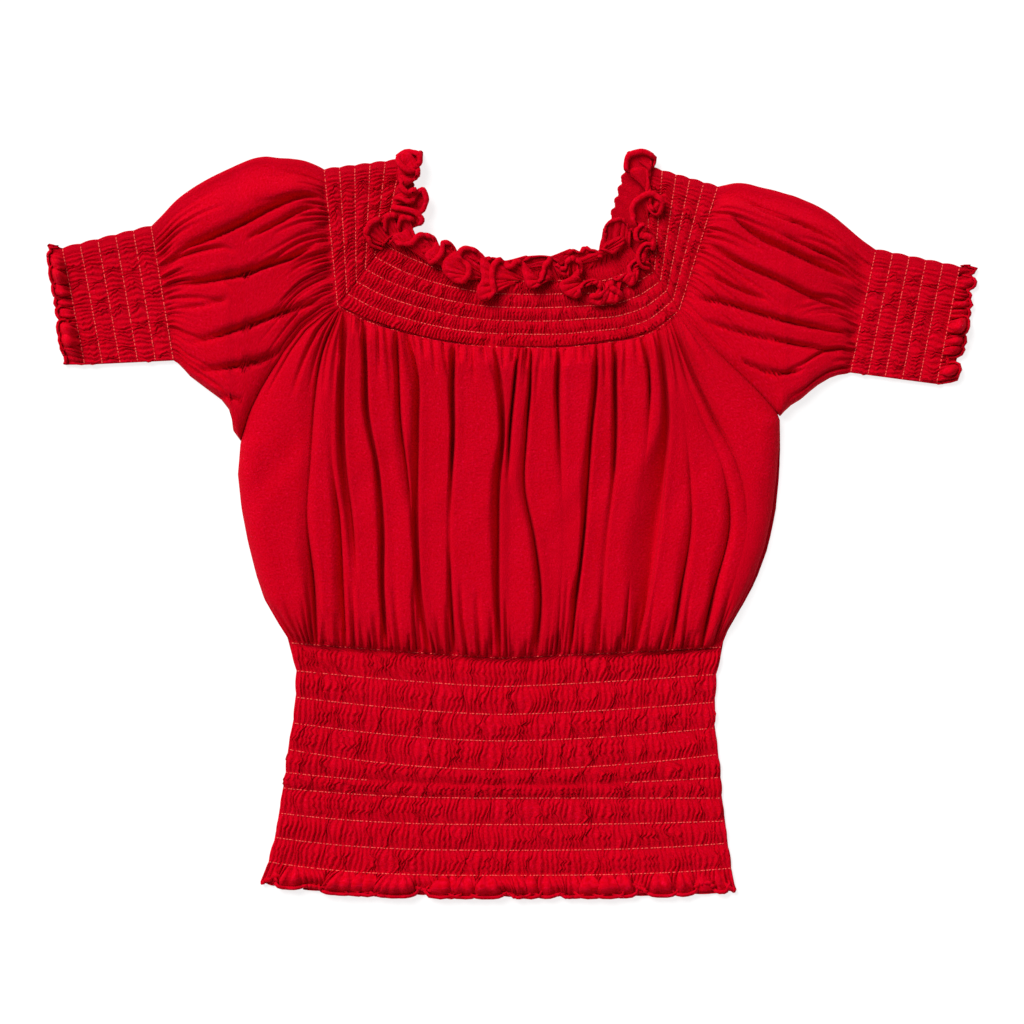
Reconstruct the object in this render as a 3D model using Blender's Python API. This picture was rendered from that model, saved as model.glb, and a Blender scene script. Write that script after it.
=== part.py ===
"""Peasant blouse, laid flat on its back with its front up.

The four pieces that are cut and sewn: front, back and two raglan sleeves. Rows of elastic thread draw
each piece up, across the neck and the waist on the front and back, and across the neck and the cuff on
the sleeves. Beyond the last row at each edge the cloth flares into a ruffle.

+X is the wearer's left, +Y runs from the hem to the neck, and +Z is up from the surface.

Every piece is a grid of two numbers. "Across" runs from side to side of the piece, and "down" follows
the cloth from the neck: -1 at the ruffle's edge, 0 to 5 on the six neck rows, 6 on the first row of the
waist or cuff, then a row for each whole number, and the last ruffle's edge one past the last row.
"""

from collections import namedtuple

import bmesh
import bpy
import numpy as np

MM = 0.001  # the sizes below are in millimetres, and the scene is in metres

# ---- cloth ----
CLOTH = 1.5  # thickness of the cloth wall
SEAM_GAP = 0.3  # between two pieces at a seam, and between two layers that touch
LAYER = CLOTH + SEAM_GAP  # height at which the upper layer starts
FLAT_TOP = LAYER + CLOTH  # outer height of the upper layer where it lies on the lower one
RED = (0.58, 0.002, 0.012, 1.0)
ROUGHNESS = 0.75

# ---- rows of elastic thread ----
NECK_LAST = 5  # the neck has rows 0 to 5
LOWER_FIRST = 6
WAIST_LAST = 15  # the waist has rows 6 to 15
CUFF_LAST = 11  # a cuff has rows 6 to 11

# ---- relief of the shirred cloth ----
RIB = 1.7  # height of a gather between two rows
RIB_FURROW = 0.35  # what is left of it in the furrow beside the gather
SCALLOP = 0.9  # how far a free edge bulges between two rows
GATHER = 1.3  # height of the short gathers that leave a row
GATHER_REACH = 0.10  # share of the bodice over which they fade
GATHER_START = 0.02  # and over which they rise
SLEEVE_GATHER_REACH = 0.12

# ---- heights of the loose cloth ----
BODICE_TOP = 9.5
SLEEVE_TOP = 11.0
RAGLAN_TOP = 8.0  # highest place of the raglan seams
RAGLAN_CURVE = 0.7  # how full their curve is: 1 is a sine's
TOP_SWELL = 0.14  # share of the bodice over which it swells below the neck rows
BOTTOM_SWELL = 0.16  # and above the waist rows
SLEEVE_SWELL = 0.22  # share of a sleeve over which it swells beside its rows
SIDE_ROUND = 15.0  # width over which a side edge rounds down
RAGLAN_ROUND = 26.0
FOLD_ROUND = 5.5  # depth of the rounded fold along a sleeve's top
FOLD_START = 0.86  # share of the way up a sleeve where its height starts to follow that fold's
SLEEVE_EDGE = 7.0  # outer height beside the fold where the sleeve is loose
SHIRRED_EDGE = 4.4  # where it is shirred
RUFFLED_EDGE = 6.2  # and at the edge of a ruffle
LOOSE_FROM, LOOSE_TO = 5.25, 5.8  # the stretch of the sleeve that has the loose height

# ---- ruffles ----
RUFFLE_LIFT = 2.6  # rise of a front ruffle's edge over its row
RUFFLE_WAVE = 4.6  # height of its waves
BACK_WAVE = 2.2  # height of the waves of a back ruffle
NECK_WAVES = 13
BACK_NECK_WAVES = 9
HEM_WAVES = 17
SLEEVE_NECK_WAVES = 5
CUFF_WAVES = 6
RUFFLE_SWAY = 1.6  # sideways sway of the waves at the neck
HEM_SHARE = 0.8  # height of the back hem's waves by those of the back's neck
SEAM_FADE = 0.1  # share of the neck's width over which a seam's inset fades

# ---- outline of the front and back: x of each side, by share of the way from neck row 5 to waist row 6 ----
Side = namedtuple("Side", "share right left")
SIDES = (
    Side(0.000, -121.0, 117.5),
    Side(0.020, -131.5, 123.0),
    Side(0.070, -147.0, 132.5),
    Side(0.130, -157.5, 145.0),
    Side(0.190, -166.5, 160.0),
    Side(0.250, -175.0, 174.5),
    Side(0.315, -182.5, 188.0),
    Side(0.400, -189.0, 187.5),
    Side(0.500, -191.0, 185.5),
    Side(0.600, -188.5, 182.5),
    Side(0.700, -184.0, 177.5),
    Side(0.800, -178.0, 169.5),
    Side(0.870, -172.5, 161.5),
    Side(0.940, -163.0, 152.0),
    Side(1.000, -154.0, 147.0),
)
RIGHT_UNDERARM = 0.400  # shares at which the raglan seams end
LEFT_UNDERARM = 0.315
BACK_PEEP = 2.6  # the back shows this far beyond the front on the wearer's left

# ---- neck lines, as x and y from the wearer's right to left ----
FRONT_EDGE = (
    (-75, 207), (-62.5, 200), (-44, 194), (-21.5, 186), (0.5, 181.5),
    (24, 181.5), (45, 179), (62.5, 175), (79, 180), (86, 193.5),
)
FRONT_ROW = (
    (-89, 195), (-71.5, 186), (-56.5, 180), (-35.5, 174), (-14.5, 170.5),
    (3, 169.5), (24, 169.5), (45, 170), (66, 170), (83.5, 176.5), (96, 183),
)
BACK_EDGE = (
    (-75, 208.5), (-56.5, 196.5), (-35.5, 190), (-10.5, 186), (13.5, 186),
    (34.5, 186.5), (52, 191.5), (66.5, 204),
)
BACK_ROW = ((-83.5, 200), (-63.5, 188.5), (-35.5, 180), (3, 176), (34.5, 177), (62.5, 179.5), (83.5, 193))
LAST_ROW = (
    (-121, 152), (-105.5, 143.5), (-77.5, 134), (-49.5, 127.5), (-21.5, 124),
    (6.5, 123), (34.5, 123), (62.5, 126), (83.5, 129), (101, 135), (117.5, 149),
)

# ---- waist rows: height of each at the wearer's right, in the middle and at the left, and its ends ----
Waist = namedtuple("Waist", "right_x right_y middle_y left_x left_y")
WAIST = (
    Waist(-154.0, -83.5, -94.0, 147.0, -86.5),
    Waist(-150.0, -103.0, -114.0, 143.5, -105.5),
    Waist(-150.0, -121.5, -133.5, 142.0, -125.0),
    Waist(-152.0, -139.5, -152.0, 142.0, -143.0),
    Waist(-155.5, -158.0, -172.0, 144.5, -161.5),
    Waist(-157.5, -174.0, -182.5, 146.5, -177.5),
    Waist(-159.0, -185.0, -192.0, 147.0, -192.0),
    Waist(-161.5, -202.5, -210.5, 149.0, -208.0),
    Waist(-164.5, -219.5, -228.5, 151.0, -223.5),
    Waist(-169.5, -236.5, -246.0, 154.0, -241.0),
    Waist(-174.5, -249.5, -258.5, 157.0, -255.5),
)
WAIST_MIDDLE = -7.5  # x of the rows' lowest place
BEND_FIRST = 1.1  # the first row falls evenly to the middle, and the last is flat with turned-up ends
BEND_STEP = 0.2

# ---- long folds of the front: x at five shares of the way down, depth at the top, middle and bottom ----
Fold = namedtuple("Fold", "column x depth width")
FOLD_SHARES = (0.0, 0.25, 0.5, 0.75, 1.0)
FOLDS = (
    Fold(6, (-113.5, -117.5, -113.0, -115.5, -115.5), (3.5, 4.5, 3.5), 9),
    Fold(11, (-101.5, -99.5, -89.5, -89.0, -87.0), (4.0, 5.0, 4.5), 9),
    Fold(16, (-79.0, -76.5, -67.0, -63.0, -59.5), (3.0, 5.0, 4.0), 10),
    Fold(30, (-10.0, -5.0, -8.5, -8.5, -7.5), (4.5, 5.0, 3.5), 11),
    Fold(44, (60.0, 58.0, 54.0, 48.5, 42.0), (3.5, 4.0, 3.5), 9),
    Fold(55, (101.5, 109.0, 104.5, 95.5, 90.5), (3.5, 5.0, 5.0), 14),
)
FRONT_COLUMNS = 62
BACK_COLUMNS = 36

# ---- short folds of the front: shares where each starts and ends, x there, depth and half width ----
Crease = namedtuple("Crease", "start end start_x end_x depth width")
CREASES = (
    Crease(0.04, 0.38, -127.0, -138.0, 2.5, 11),
    Crease(0.68, 0.98, -143.0, -134.5, 3.0, 10),
    Crease(0.02, 0.40, -40.5, -40.5, 4.0, 9),
    Crease(0.00, 0.17, 15.0, 10.0, 2.5, 8),
    Crease(0.00, 0.16, 34.0, 31.0, 2.5, 8),
    Crease(0.42, 0.90, 14.0, 19.5, 3.5, 9),
    Crease(0.04, 0.38, 72.0, 73.5, 4.0, 8),
    Crease(0.76, 0.96, -42.0, -38.5, 2.5, 8),
    Crease(0.05, 0.36, 118.0, 160.0, 2.0, 12),
    Crease(0.70, 0.94, 124.0, 113.0, 2.5, 10),
    Crease(0.62, 0.98, 153.0, 132.5, 2.0, 10),
)

# ---- sleeves: where each line round the sleeve meets its lower edge and its top fold ----
Ring = namedtuple("Ring", "low_x low_y top_x top_y")
Sleeve = namedtuple("Sleeve", "edge row back_edge back_row tops underarm cuff cuff_end cuff_edge bow")
RIGHT_SLEEVE = Sleeve(
    edge=Ring(-75.0, 207.0, -63.0, 257.5),
    row=Ring(-89.0, 195.0, -77.0, 254.5),
    back_edge=(-75.0, 208.5),
    back_row=(-83.5, 200.0),
    tops=(
        (-130.5, 247.5), (-135, 250), (-144, 253.5), (-153.5, 255), (-162.5, 255.5),
        (-171.5, 256.5), (-180.5, 255), (-189.5, 251.5),
    ),
    underarm=(
        Ring(-194.0, 64.5, -196.0, 248.5),
        Ring(-195.5, 77.5, -202.5, 245.5),
        Ring(-202.5, 86.5, -211.5, 241.0),
        Ring(-214.0, 95.0, -222.5, 234.5),
        Ring(-224.5, 103.0, -234.0, 226.0),
        Ring(-231.5, 111.0, -243.5, 216.0),
    ),
    cuff=Ring(-236.0, 114.0, -251.5, 208.0),
    cuff_end=Ring(-298.0, 111.0, -313.5, 192.5),
    cuff_edge=Ring(-312.0, 111.0, -322.5, 195.0),
    bow=8.0,
)
LEFT_SLEEVE = Sleeve(
    edge=Ring(86.0, 193.5, 82.0, 257.0),
    row=Ring(96.0, 183.0, 96.0, 249.5),
    back_edge=(66.5, 204.0),
    back_row=(83.5, 193.0),
    tops=(
        (144.5, 235.5), (149, 236.5), (157, 238), (165, 237.5), (174.5, 235),
        (183.5, 233), (192, 230.5),
    ),
    underarm=(
        Ring(194.0, 81.5, 197.5, 229.0),
        Ring(203.0, 87.0, 205.0, 226.0),
        Ring(212.0, 95.0, 214.0, 222.0),
        Ring(221.0, 101.0, 224.0, 216.0),
        Ring(229.5, 104.0, 234.5, 207.5),
        Ring(234.0, 104.5, 244.5, 199.0),
    ),
    cuff=Ring(237.5, 105.5, 255.0, 191.5),
    cuff_end=Ring(297.5, 97.5, 313.5, 179.5),
    cuff_edge=Ring(310.0, 99.0, 323.5, 179.0),
    bow=0.0,
)
SLEEVE_COLUMNS = 18  # on the front layer; the fold and the back layer add theirs
FOLD_STEPS = (1.25, 1.5, 1.75, 2.0)  # turn 1 to 2 goes round the fold, and 2 to 3 down the back layer
BACK_STEPS = (2.33, 2.67, 3.0)

# ---- folds of the sleeves: from, to, share of the height at each end, depth and half width ----
Pleat = namedtuple("Pleat", "start end start_up end_up depth width")
RIGHT_PLEATS = (
    Pleat(5.0, 5.45, 0.90, 0.95, 2.5, 8),
    Pleat(5.0, 5.95, 0.78, 0.70, 5.0, 11),
    Pleat(5.05, 5.9, 0.45, 0.50, 4.5, 11),
    Pleat(5.05, 5.75, 0.12, 0.25, 3.0, 12),
    Pleat(5.4, 5.85, 0.06, 0.14, 2.0, 10),
)
LEFT_PLEATS = (
    Pleat(5.0, 5.9, 0.93, 0.78, 2.5, 9),
    Pleat(5.0, 5.95, 0.76, 0.72, 5.0, 14),
    Pleat(5.0, 5.95, 0.50, 0.48, 4.5, 10),
    Pleat(5.05, 5.95, 0.16, 0.30, 3.0, 10),
    Pleat(5.3, 5.95, 0.08, 0.12, 2.0, 10),
)


# ---------------------------------------------------------------- curves and shapes


def curve(knots, values, at):
    """The smooth curve through the values at the knots, read at each number."""
    knots = np.asarray(knots, float)
    values = np.asarray(values, float)
    slopes = np.gradient(values, knots)
    i = np.clip(np.searchsorted(knots, at, side="right") - 1, 0, len(knots) - 2)
    step = knots[i + 1] - knots[i]
    t = np.clip((at - knots[i]) / step, 0.0, 1.0)
    start = (1 + 2 * t) * (1 - t) ** 2 * values[i] + t * (1 - t) ** 2 * step * slopes[i]
    end = t**2 * (3 - 2 * t) * values[i + 1] - t**2 * (1 - t) * step * slopes[i + 1]
    return start + end


def line_at(points, x):
    """The y of a line given as x and y points."""
    knots, values = zip(*points)
    return curve(knots, values, x)


def blend(a, b, t):
    return a + (b - a) * t


def ease(t):
    """0 to 1 with level ends."""
    t = np.clip(t, 0.0, 1.0)
    return t * t * (3 - 2 * t)


def rounded(t):
    """0 to 1 as a quarter of a circle: steep at first, then level."""
    t = np.clip(t, 0.0, 1.0)
    return np.sqrt(t * (2 - t))


def furrow(distance, width):
    """1 on a fold's line, with a crease there, and 0 from its width on."""
    return np.clip(1 - np.abs(distance) / width, 0.0, 1.0) ** 2


def wave(share, count):
    """Waves between 0 and 1, low at both ends."""
    return 0.5 - 0.5 * np.cos(2 * np.pi * count * share)


def ribs(column, down, last):
    """Gathers of shirred cloth between two rows. They change places from one band to the next."""
    band = np.floor(np.clip(down, 0, last - 1e-6))
    puff = np.sin(np.pi * (down - band)) ** 2
    ridge = np.where((np.round(column) + band) % 2 == 0, 1.0, RIB_FURROW)
    return RIB * puff * ridge


# ---------------------------------------------------------------- front and back


def side_x(share, side):
    """The x of a side edge of the body."""
    shares = [row.share for row in SIDES]
    return np.interp(share, shares, [getattr(row, side) for row in SIDES])


def side_y(share, side):
    first = dict(right=LAST_ROW[0], left=LAST_ROW[-1])[side][1]
    last = getattr(WAIST[0], side + "_y")
    return blend(first, last, share)


def seam_shift(x, y):
    """How far a steep edge moves sideways to leave the seam gap beside itself."""
    return SEAM_GAP * np.hypot(1.0, np.gradient(x) / np.gradient(y))


def side_inset(share, side):
    """The x of a side edge of the body, inside the seam that it shares with a sleeve."""
    shares = np.array([row.share for row in SIDES])
    x = side_x(shares, side)
    shift = seam_shift(x, side_y(shares, side))
    inward = 1.0 if side == "right" else -1.0
    return np.interp(share, shares, x + inward * shift)


def fold_x(fold, share):
    return curve(FOLD_SHARES, fold.x, share)


def bodice_x(across, share):
    """The x between the side edges, so that a column of the grid lies on each long fold."""
    x = np.empty_like(across)
    for one in np.unique(share):
        here = share == one
        knots = [0.0] + [fold.column / FRONT_COLUMNS for fold in FOLDS] + [1.0]
        places = [side_inset(one, "right")] + [float(fold_x(fold, one)) for fold in FOLDS]
        places.append(side_inset(one, "left"))
        x[here] = np.interp(across[here], knots, places)
    return x


def waist_row(number, x):
    """The y of a waist row."""
    row = WAIST[number]
    bend = BEND_FIRST + BEND_STEP * number
    to_right = np.clip((WAIST_MIDDLE - x) / (WAIST_MIDDLE - row.right_x), 0, 1.1) ** bend
    to_left = np.clip((x - WAIST_MIDDLE) / (row.left_x - WAIST_MIDDLE), 0, 1.1) ** bend
    return row.middle_y + (row.right_y - row.middle_y) * to_right + (row.left_y - row.middle_y) * to_left


def waist_plan(across, down):
    """x and y on the waist and its ruffle."""
    numbers = np.arange(len(WAIST))
    place = down - LOWER_FIRST
    bulge = SCALLOP * np.abs(np.sin(np.pi * place)) * (down < WAIST_LAST)
    right = np.interp(place, numbers, [row.right_x for row in WAIST]) - bulge
    left = np.interp(place, numbers, [row.left_x for row in WAIST]) + bulge
    even = blend(right, left, across)
    folded = bodice_x(across, np.ones_like(across))
    x = blend(folded, even, ease(place))
    lower = np.clip(np.floor(place).astype(int), 0, len(WAIST) - 2)
    y = np.empty_like(x)
    for number in np.unique(lower):
        here = lower == number
        part = place[here] - number
        y[here] = blend(waist_row(number, x[here]), waist_row(number + 1, x[here]), part)
    return x, y


def neck_plan(across, down, row_line, edge_line):
    """x and y on the neck rows and the ruffle above them."""
    first = blend(row_line[0][0], row_line[-1][0], across)
    even = blend(LAST_ROW[0][0], LAST_ROW[-1][0], across)
    folded = bodice_x(across, np.zeros_like(across))
    last = blend(even, folded, ease(down - (NECK_LAST - 1)))
    part = np.clip(down / NECK_LAST, 0, 1)
    x = blend(first, last, part)
    y = blend(line_at(row_line, first), line_at(LAST_ROW, last), part)
    out = np.clip(-down, 0, 1)
    edge = blend(edge_line[0][0], edge_line[-1][0], across)
    x = blend(x, edge, out)
    y = blend(y, line_at(edge_line, edge), out)
    slope = abs((row_line[0][0] - LAST_ROW[0][0]) / (row_line[0][1] - LAST_ROW[0][1]))
    inward = np.interp(across, (0, SEAM_FADE, 1 - SEAM_FADE, 1), (1, 0, 0, -1)) * (part < 1)
    return x + inward * SEAM_GAP * np.hypot(1.0, slope), y


def body_plan(across, down, row_line, edge_line):
    """x and y anywhere on the front or the back."""
    neck_x, neck_y = neck_plan(across, down, row_line, edge_line)
    waist_x, waist_y = waist_plan(across, np.maximum(down, LOWER_FIRST))
    share = np.clip(down - NECK_LAST, 0, 1)
    x = bodice_x(across, share)
    top = line_at(LAST_ROW, bodice_x(across, np.zeros_like(across)))
    bottom = waist_row(0, bodice_x(across, np.ones_like(across)))
    y = blend(top, bottom, share)
    x = np.where(down <= NECK_LAST, neck_x, np.where(down >= LOWER_FIRST, waist_x, x))
    y = np.where(down <= NECK_LAST, neck_y, np.where(down >= LOWER_FIRST, waist_y, y))
    return x, y


def raglan_height(share, underarm):
    """Outer height along a raglan seam, from the neck rows to the underarm."""
    arch = np.sin(np.pi * np.clip(share / underarm, 0, 1)) ** RAGLAN_CURVE
    return FLAT_TOP + (RAGLAN_TOP - FLAT_TOP) * arch


def front_folds(x, share):
    """How far the folds take the front down."""
    depth = np.zeros_like(x)
    for fold in FOLDS:
        here = curve((0.0, 0.5, 1.0), fold.depth, share)
        depth = np.maximum(depth, here * furrow(x - fold_x(fold, share), fold.width))
    for crease in CREASES:
        part = (share - crease.start) / (crease.end - crease.start)
        here = crease.depth * np.sqrt(np.clip(4 * part * (1 - part), 0, 1))
        middle = blend(crease.start_x, crease.end_x, part)
        depth = np.maximum(depth, here * furrow(x - middle, crease.width))
    return depth


def bodice_height(across, x, share):
    """Outer height of the loose part of the front, over the surface."""
    swell = rounded(share / TOP_SWELL) * rounded((1 - share) / BOTTOM_SWELL)
    height = FLAT_TOP + (BODICE_TOP - FLAT_TOP) * swell - front_folds(x, share) * swell
    for side, underarm in (("right", RIGHT_UNDERARM), ("left", LEFT_UNDERARM)):
        distance = np.abs(x - side_inset(share, side))
        seam = raglan_height(share, underarm)
        reach = np.where(share < underarm, RAGLAN_ROUND, SIDE_ROUND)
        height = blend(seam, height, rounded(distance / reach))
    column = np.round(across * FRONT_COLUMNS)
    near_row = np.exp(-share / GATHER_REACH) + np.exp(-(1 - share) / GATHER_REACH)
    inside = np.clip(share / GATHER_START, 0, 1) * np.clip((1 - share) / GATHER_START, 0, 1)
    height = height + GATHER * (column % 2) * near_row * inside * (across > 0) * (across < 1)
    return np.maximum(height, FLAT_TOP)


def front_sway(across, down, x):
    """The neck ruffle's waves lean to and fro along the row."""
    out = np.clip(-down, 0, 1)
    return x + out * RUFFLE_SWAY * np.sin(2 * np.pi * NECK_WAVES * across) * np.sin(np.pi * across)


def front_base(across, down, x):
    """Outer height of the front without the ribs of the shirring."""
    height = np.full_like(x, FLAT_TOP)
    loose = (down > NECK_LAST) & (down < LOWER_FIRST)
    share = np.clip(down - NECK_LAST, 0, 1)
    height = np.where(loose, bodice_height(across, x, share), height)
    neck = np.clip(-down, 0, 1)
    hem = np.clip(down - WAIST_LAST, 0, 1)
    height = height + neck * (RUFFLE_LIFT + RUFFLE_WAVE * wave(across, NECK_WAVES))
    return height + hem * (RUFFLE_LIFT + RUFFLE_WAVE * wave(across, HEM_WAVES))


def front_outer(across, down):
    x, y = body_plan(across, down, FRONT_ROW, FRONT_EDGE)
    column = across * FRONT_COLUMNS
    z = front_base(across, down, x)
    z = z + np.where((down > 0) & (down < NECK_LAST), ribs(column, down, NECK_LAST), 0)
    waist = (down > LOWER_FIRST) & (down < WAIST_LAST)
    z = z + np.where(waist, ribs(column, down - LOWER_FIRST, WAIST_LAST - LOWER_FIRST), 0)
    return front_sway(across, down, x), y, z


def front_inner(across, down):
    x, y = body_plan(across, down, FRONT_ROW, FRONT_EDGE)
    return front_sway(across, down, x), y, front_base(across, down, x) - CLOTH


def back_plan(across, down):
    x, y = body_plan(across, down, BACK_ROW, BACK_EDGE)
    share = np.clip((down - NECK_LAST - LEFT_UNDERARM) / (1 - LEFT_UNDERARM), 0, 1)
    return x + BACK_PEEP * np.sin(np.pi * share) * across**3, y


def back_lift(across, down):
    """Height of the back's underside: flat but for the waves of its ruffles."""
    neck = np.clip(-down, 0, 1) * wave(across, BACK_NECK_WAVES)
    hem = np.clip(down - WAIST_LAST, 0, 1) * wave(across, HEM_WAVES)
    return BACK_WAVE * (neck * np.sqrt(np.sin(np.pi * across)) + HEM_SHARE * hem)


def back_under(across, down):
    x, y = back_plan(across, down)
    return x, y, back_lift(across, down)


def back_upper(across, down):
    x, y = back_plan(across, down)
    return x, y, back_lift(across, down) + CLOTH


# ---------------------------------------------------------------- sleeves


def sleeve_rings(sleeve, side, underarm):
    """The lines round a sleeve: how far down each is, and its ends on the front and back layers."""
    stations = [row.share for row in SIDES if row.share <= underarm]
    lower = [Ring(side_x(s, side), side_y(s, side), *top) for s, top in zip(stations, sleeve.tops)]
    loose = lower[1:] + list(sleeve.underarm)
    steps = NECK_LAST + np.arange(1, len(loose) + 1) / (len(loose) + 1)
    rings = [sleeve.edge, sleeve.row, lower[0], *loose, sleeve.cuff, sleeve.cuff_end, sleeve.cuff_edge]
    down = [-1, 0, NECK_LAST, *steps, LOWER_FIRST, CUFF_LAST, CUFF_LAST + 1]
    back = [sleeve.back_edge, sleeve.back_row] + [(ring.low_x, ring.low_y) for ring in rings[2:]]
    seam = dict(zip(down[2:], stations))
    return np.array(down, float), np.array(rings, float), np.array(back, float), seam


def sleeve_edge_height(down):
    """Outer height beside the top fold."""
    knots = (-1, 0, NECK_LAST, LOOSE_FROM, LOOSE_TO, LOWER_FIRST, CUFF_LAST, CUFF_LAST + 1)
    shirred = (SHIRRED_EDGE, SHIRRED_EDGE)
    heights = (RUFFLED_EDGE, *shirred, SLEEVE_EDGE, SLEEVE_EDGE, *shirred, RUFFLED_EDGE)
    return np.interp(down, knots, heights)


def sleeve_height(up, down, length, seam, underarm, pleats):
    """Outer height of a sleeve's front layer, by share of the way up from its lower edge."""
    part = np.clip(down - NECK_LAST, 0, 1)
    swell = rounded(part / SLEEVE_SWELL) * rounded((1 - part) / SLEEVE_SWELL)
    depth = np.zeros_like(up)
    for pleat in pleats:
        along = (down - pleat.start) / (pleat.end - pleat.start)
        here = pleat.depth * np.sqrt(np.clip(4 * along * (1 - along), 0, 1))
        middle = blend(pleat.start_up, pleat.end_up, along)
        depth = np.maximum(depth, here * furrow((up - middle) * length, pleat.width))
    height = FLAT_TOP + (SLEEVE_TOP - FLAT_TOP - depth) * swell
    share = np.interp(down, list(seam), list(seam.values()))
    lower_edge = np.where(part > 0, raglan_height(share, underarm), FLAT_TOP)
    reach = np.where(down <= max(seam), RAGLAN_ROUND, SIDE_ROUND)
    height = blend(lower_edge, height, rounded(up * length / reach))
    column = np.round(up * SLEEVE_COLUMNS)
    near_row = np.exp(-part / SLEEVE_GATHER_REACH) + np.exp(-(1 - part) / SLEEVE_GATHER_REACH)
    height = height + GATHER * (column % 2) * near_row * (part > 0) * (part < 1)
    neck = np.clip(-down, 0, 1) * wave(up, SLEEVE_NECK_WAVES)
    cuff = np.clip(down - CUFF_LAST, 0, 1) * wave(up, CUFF_WAVES)
    lift = np.clip(-down, 0, 1) + np.clip(down - CUFF_LAST, 0, 1)
    height = height + lift * RUFFLE_LIFT + RUFFLE_WAVE * (neck + cuff)
    beside_fold = ease((up - FOLD_START) / (1 - FOLD_START))
    return np.maximum(blend(height, sleeve_edge_height(down), beside_fold), FLAT_TOP)


def sleeve_ribs(up, down):
    column = up * SLEEVE_COLUMNS
    neck = np.where((down > 0) & (down < NECK_LAST), ribs(column, down, NECK_LAST), 0)
    rows = CUFF_LAST - LOWER_FIRST
    cuff = np.where((down > LOWER_FIRST) & (down < CUFF_LAST), ribs(column, down - LOWER_FIRST, rows), 0)
    return (neck + cuff) * (1 - ease((up - FOLD_START) / (1 - FOLD_START))) * (up > 0)


def sleeve_surface(turn, down, sleeve, side, underarm, pleats, inset):
    """x, y and z on a sleeve. Turn runs 0 to 1 up the front layer, to 2 round the top fold, to 3 down
    the back layer. Inset is 0 on the outer face and the cloth's thickness on the inner one."""
    knots, rings, back, seam = sleeve_rings(sleeve, side, underarm)
    low_x, low_y, top_x, top_y = (np.interp(down, knots, rings[:, i]) for i in range(4))
    shirred = ((down > 0) & (down < NECK_LAST)) | ((down > LOWER_FIRST) & (down < CUFF_LAST))
    top_y = top_y + SCALLOP * shirred * np.abs(np.sin(np.pi * down))
    back_x, back_y = (np.interp(down, knots, back[:, i]) for i in range(2))
    length = np.hypot(top_x - low_x, top_y - low_y)
    fold = FOLD_ROUND / length

    up = np.clip(turn, 0, 1)
    height = sleeve_height(up, down, length, seam, underarm, pleats)
    if not inset:
        height = height + sleeve_ribs(up, down)
    edge = sleeve_edge_height(down)
    angle = np.pi / 2 - np.pi * np.clip(turn - 1, 0, 1)
    bend_z = edge / 2 + (edge / 2 - inset) * np.sin(angle)
    bend_up = 1 - fold + (fold - inset / length) * np.cos(angle)
    down_back = (1 - fold) * (3 - np.clip(turn, 2, 3))

    front_share = np.where(turn <= 1, up * (1 - fold), bend_up)
    bow = sleeve.bow * np.clip(-down, 0, 1) * np.sin(np.pi * np.clip(front_share, 0, 1))
    front_x = blend(low_x, top_x, front_share) + bow
    front_y = blend(low_y, top_y, front_share)
    rear_x = blend(back_x, top_x, down_back)
    rear_y = blend(back_y, top_y, down_back)
    behind = turn > 2
    x = np.where(behind, rear_x, front_x)
    y = np.where(behind, rear_y, front_y)
    z = np.where(turn <= 1, height - inset, np.where(behind, inset, bend_z))
    return x, y, z


# ---------------------------------------------------------------- cloth walls


def cloth_grid(bm, surface, columns, rows):
    """A grid in bm laid on a surface. Returns its vertices as rows of columns."""
    made = bmesh.ops.create_grid(bm, x_segments=len(columns) - 1, y_segments=len(rows) - 1, size=1.0)
    verts = sorted(made["verts"], key=lambda v: (round(v.co.y, 5), v.co.x))
    down, across = np.meshgrid(rows, columns, indexing="ij")
    places = np.stack(surface(across.ravel(), down.ravel()), axis=1) * MM
    for vert, place in zip(verts, places):
        vert.co = place
    return [verts[i * len(columns) : (i + 1) * len(columns)] for i in range(len(rows))]


def lace(bm, first, first_at, second, second_at):
    """Join two chains of vertices with triangles, in step with where each vertex lies."""
    i = j = 0
    while i < len(first) - 1 or j < len(second) - 1:
        step_first = j == len(second) - 1 or (i < len(first) - 1 and first_at[i + 1] <= second_at[j + 1])
        if step_first:
            bm.faces.new((first[i], first[i + 1], second[j]))
            i += 1
        else:
            bm.faces.new((first[i], second[j + 1], second[j]))
            j += 1


def cloth_wall(name, outer, inner, columns, rows, inner_rows):
    """One closed wall of cloth between an outer and an inner surface."""
    bm = bmesh.new()
    over = cloth_grid(bm, outer, columns, rows)
    under = cloth_grid(bm, inner, columns, inner_rows)
    lace(bm, over[0], columns, under[0], columns)
    lace(bm, over[-1], columns, under[-1], columns)
    for end in (0, -1):
        lace(bm, [row[end] for row in over], rows, [row[end] for row in under], inner_rows)
    bmesh.ops.recalc_face_normals(bm, faces=bm.faces)
    mesh = bpy.data.meshes.new(name)
    bm.to_mesh(mesh)
    bm.free()
    mesh.shade_smooth()
    piece = bpy.data.objects.new(name, mesh)
    mesh.materials.append(cloth_material(name))
    return piece


def cloth_material(name):
    material = bpy.data.materials.new(name + "_cloth")
    material.use_nodes = True
    shader = material.node_tree.nodes["Principled BSDF"]
    shader.inputs["Base Color"].default_value = RED
    shader.inputs["Roughness"].default_value = ROUGHNESS
    shader.inputs["Metallic"].default_value = 0.0
    return material


def row_steps(first, last, each):
    """Steps from a first to a last row."""
    return list(np.linspace(first, last, int(round((last - first) * each)) + 1))


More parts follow.
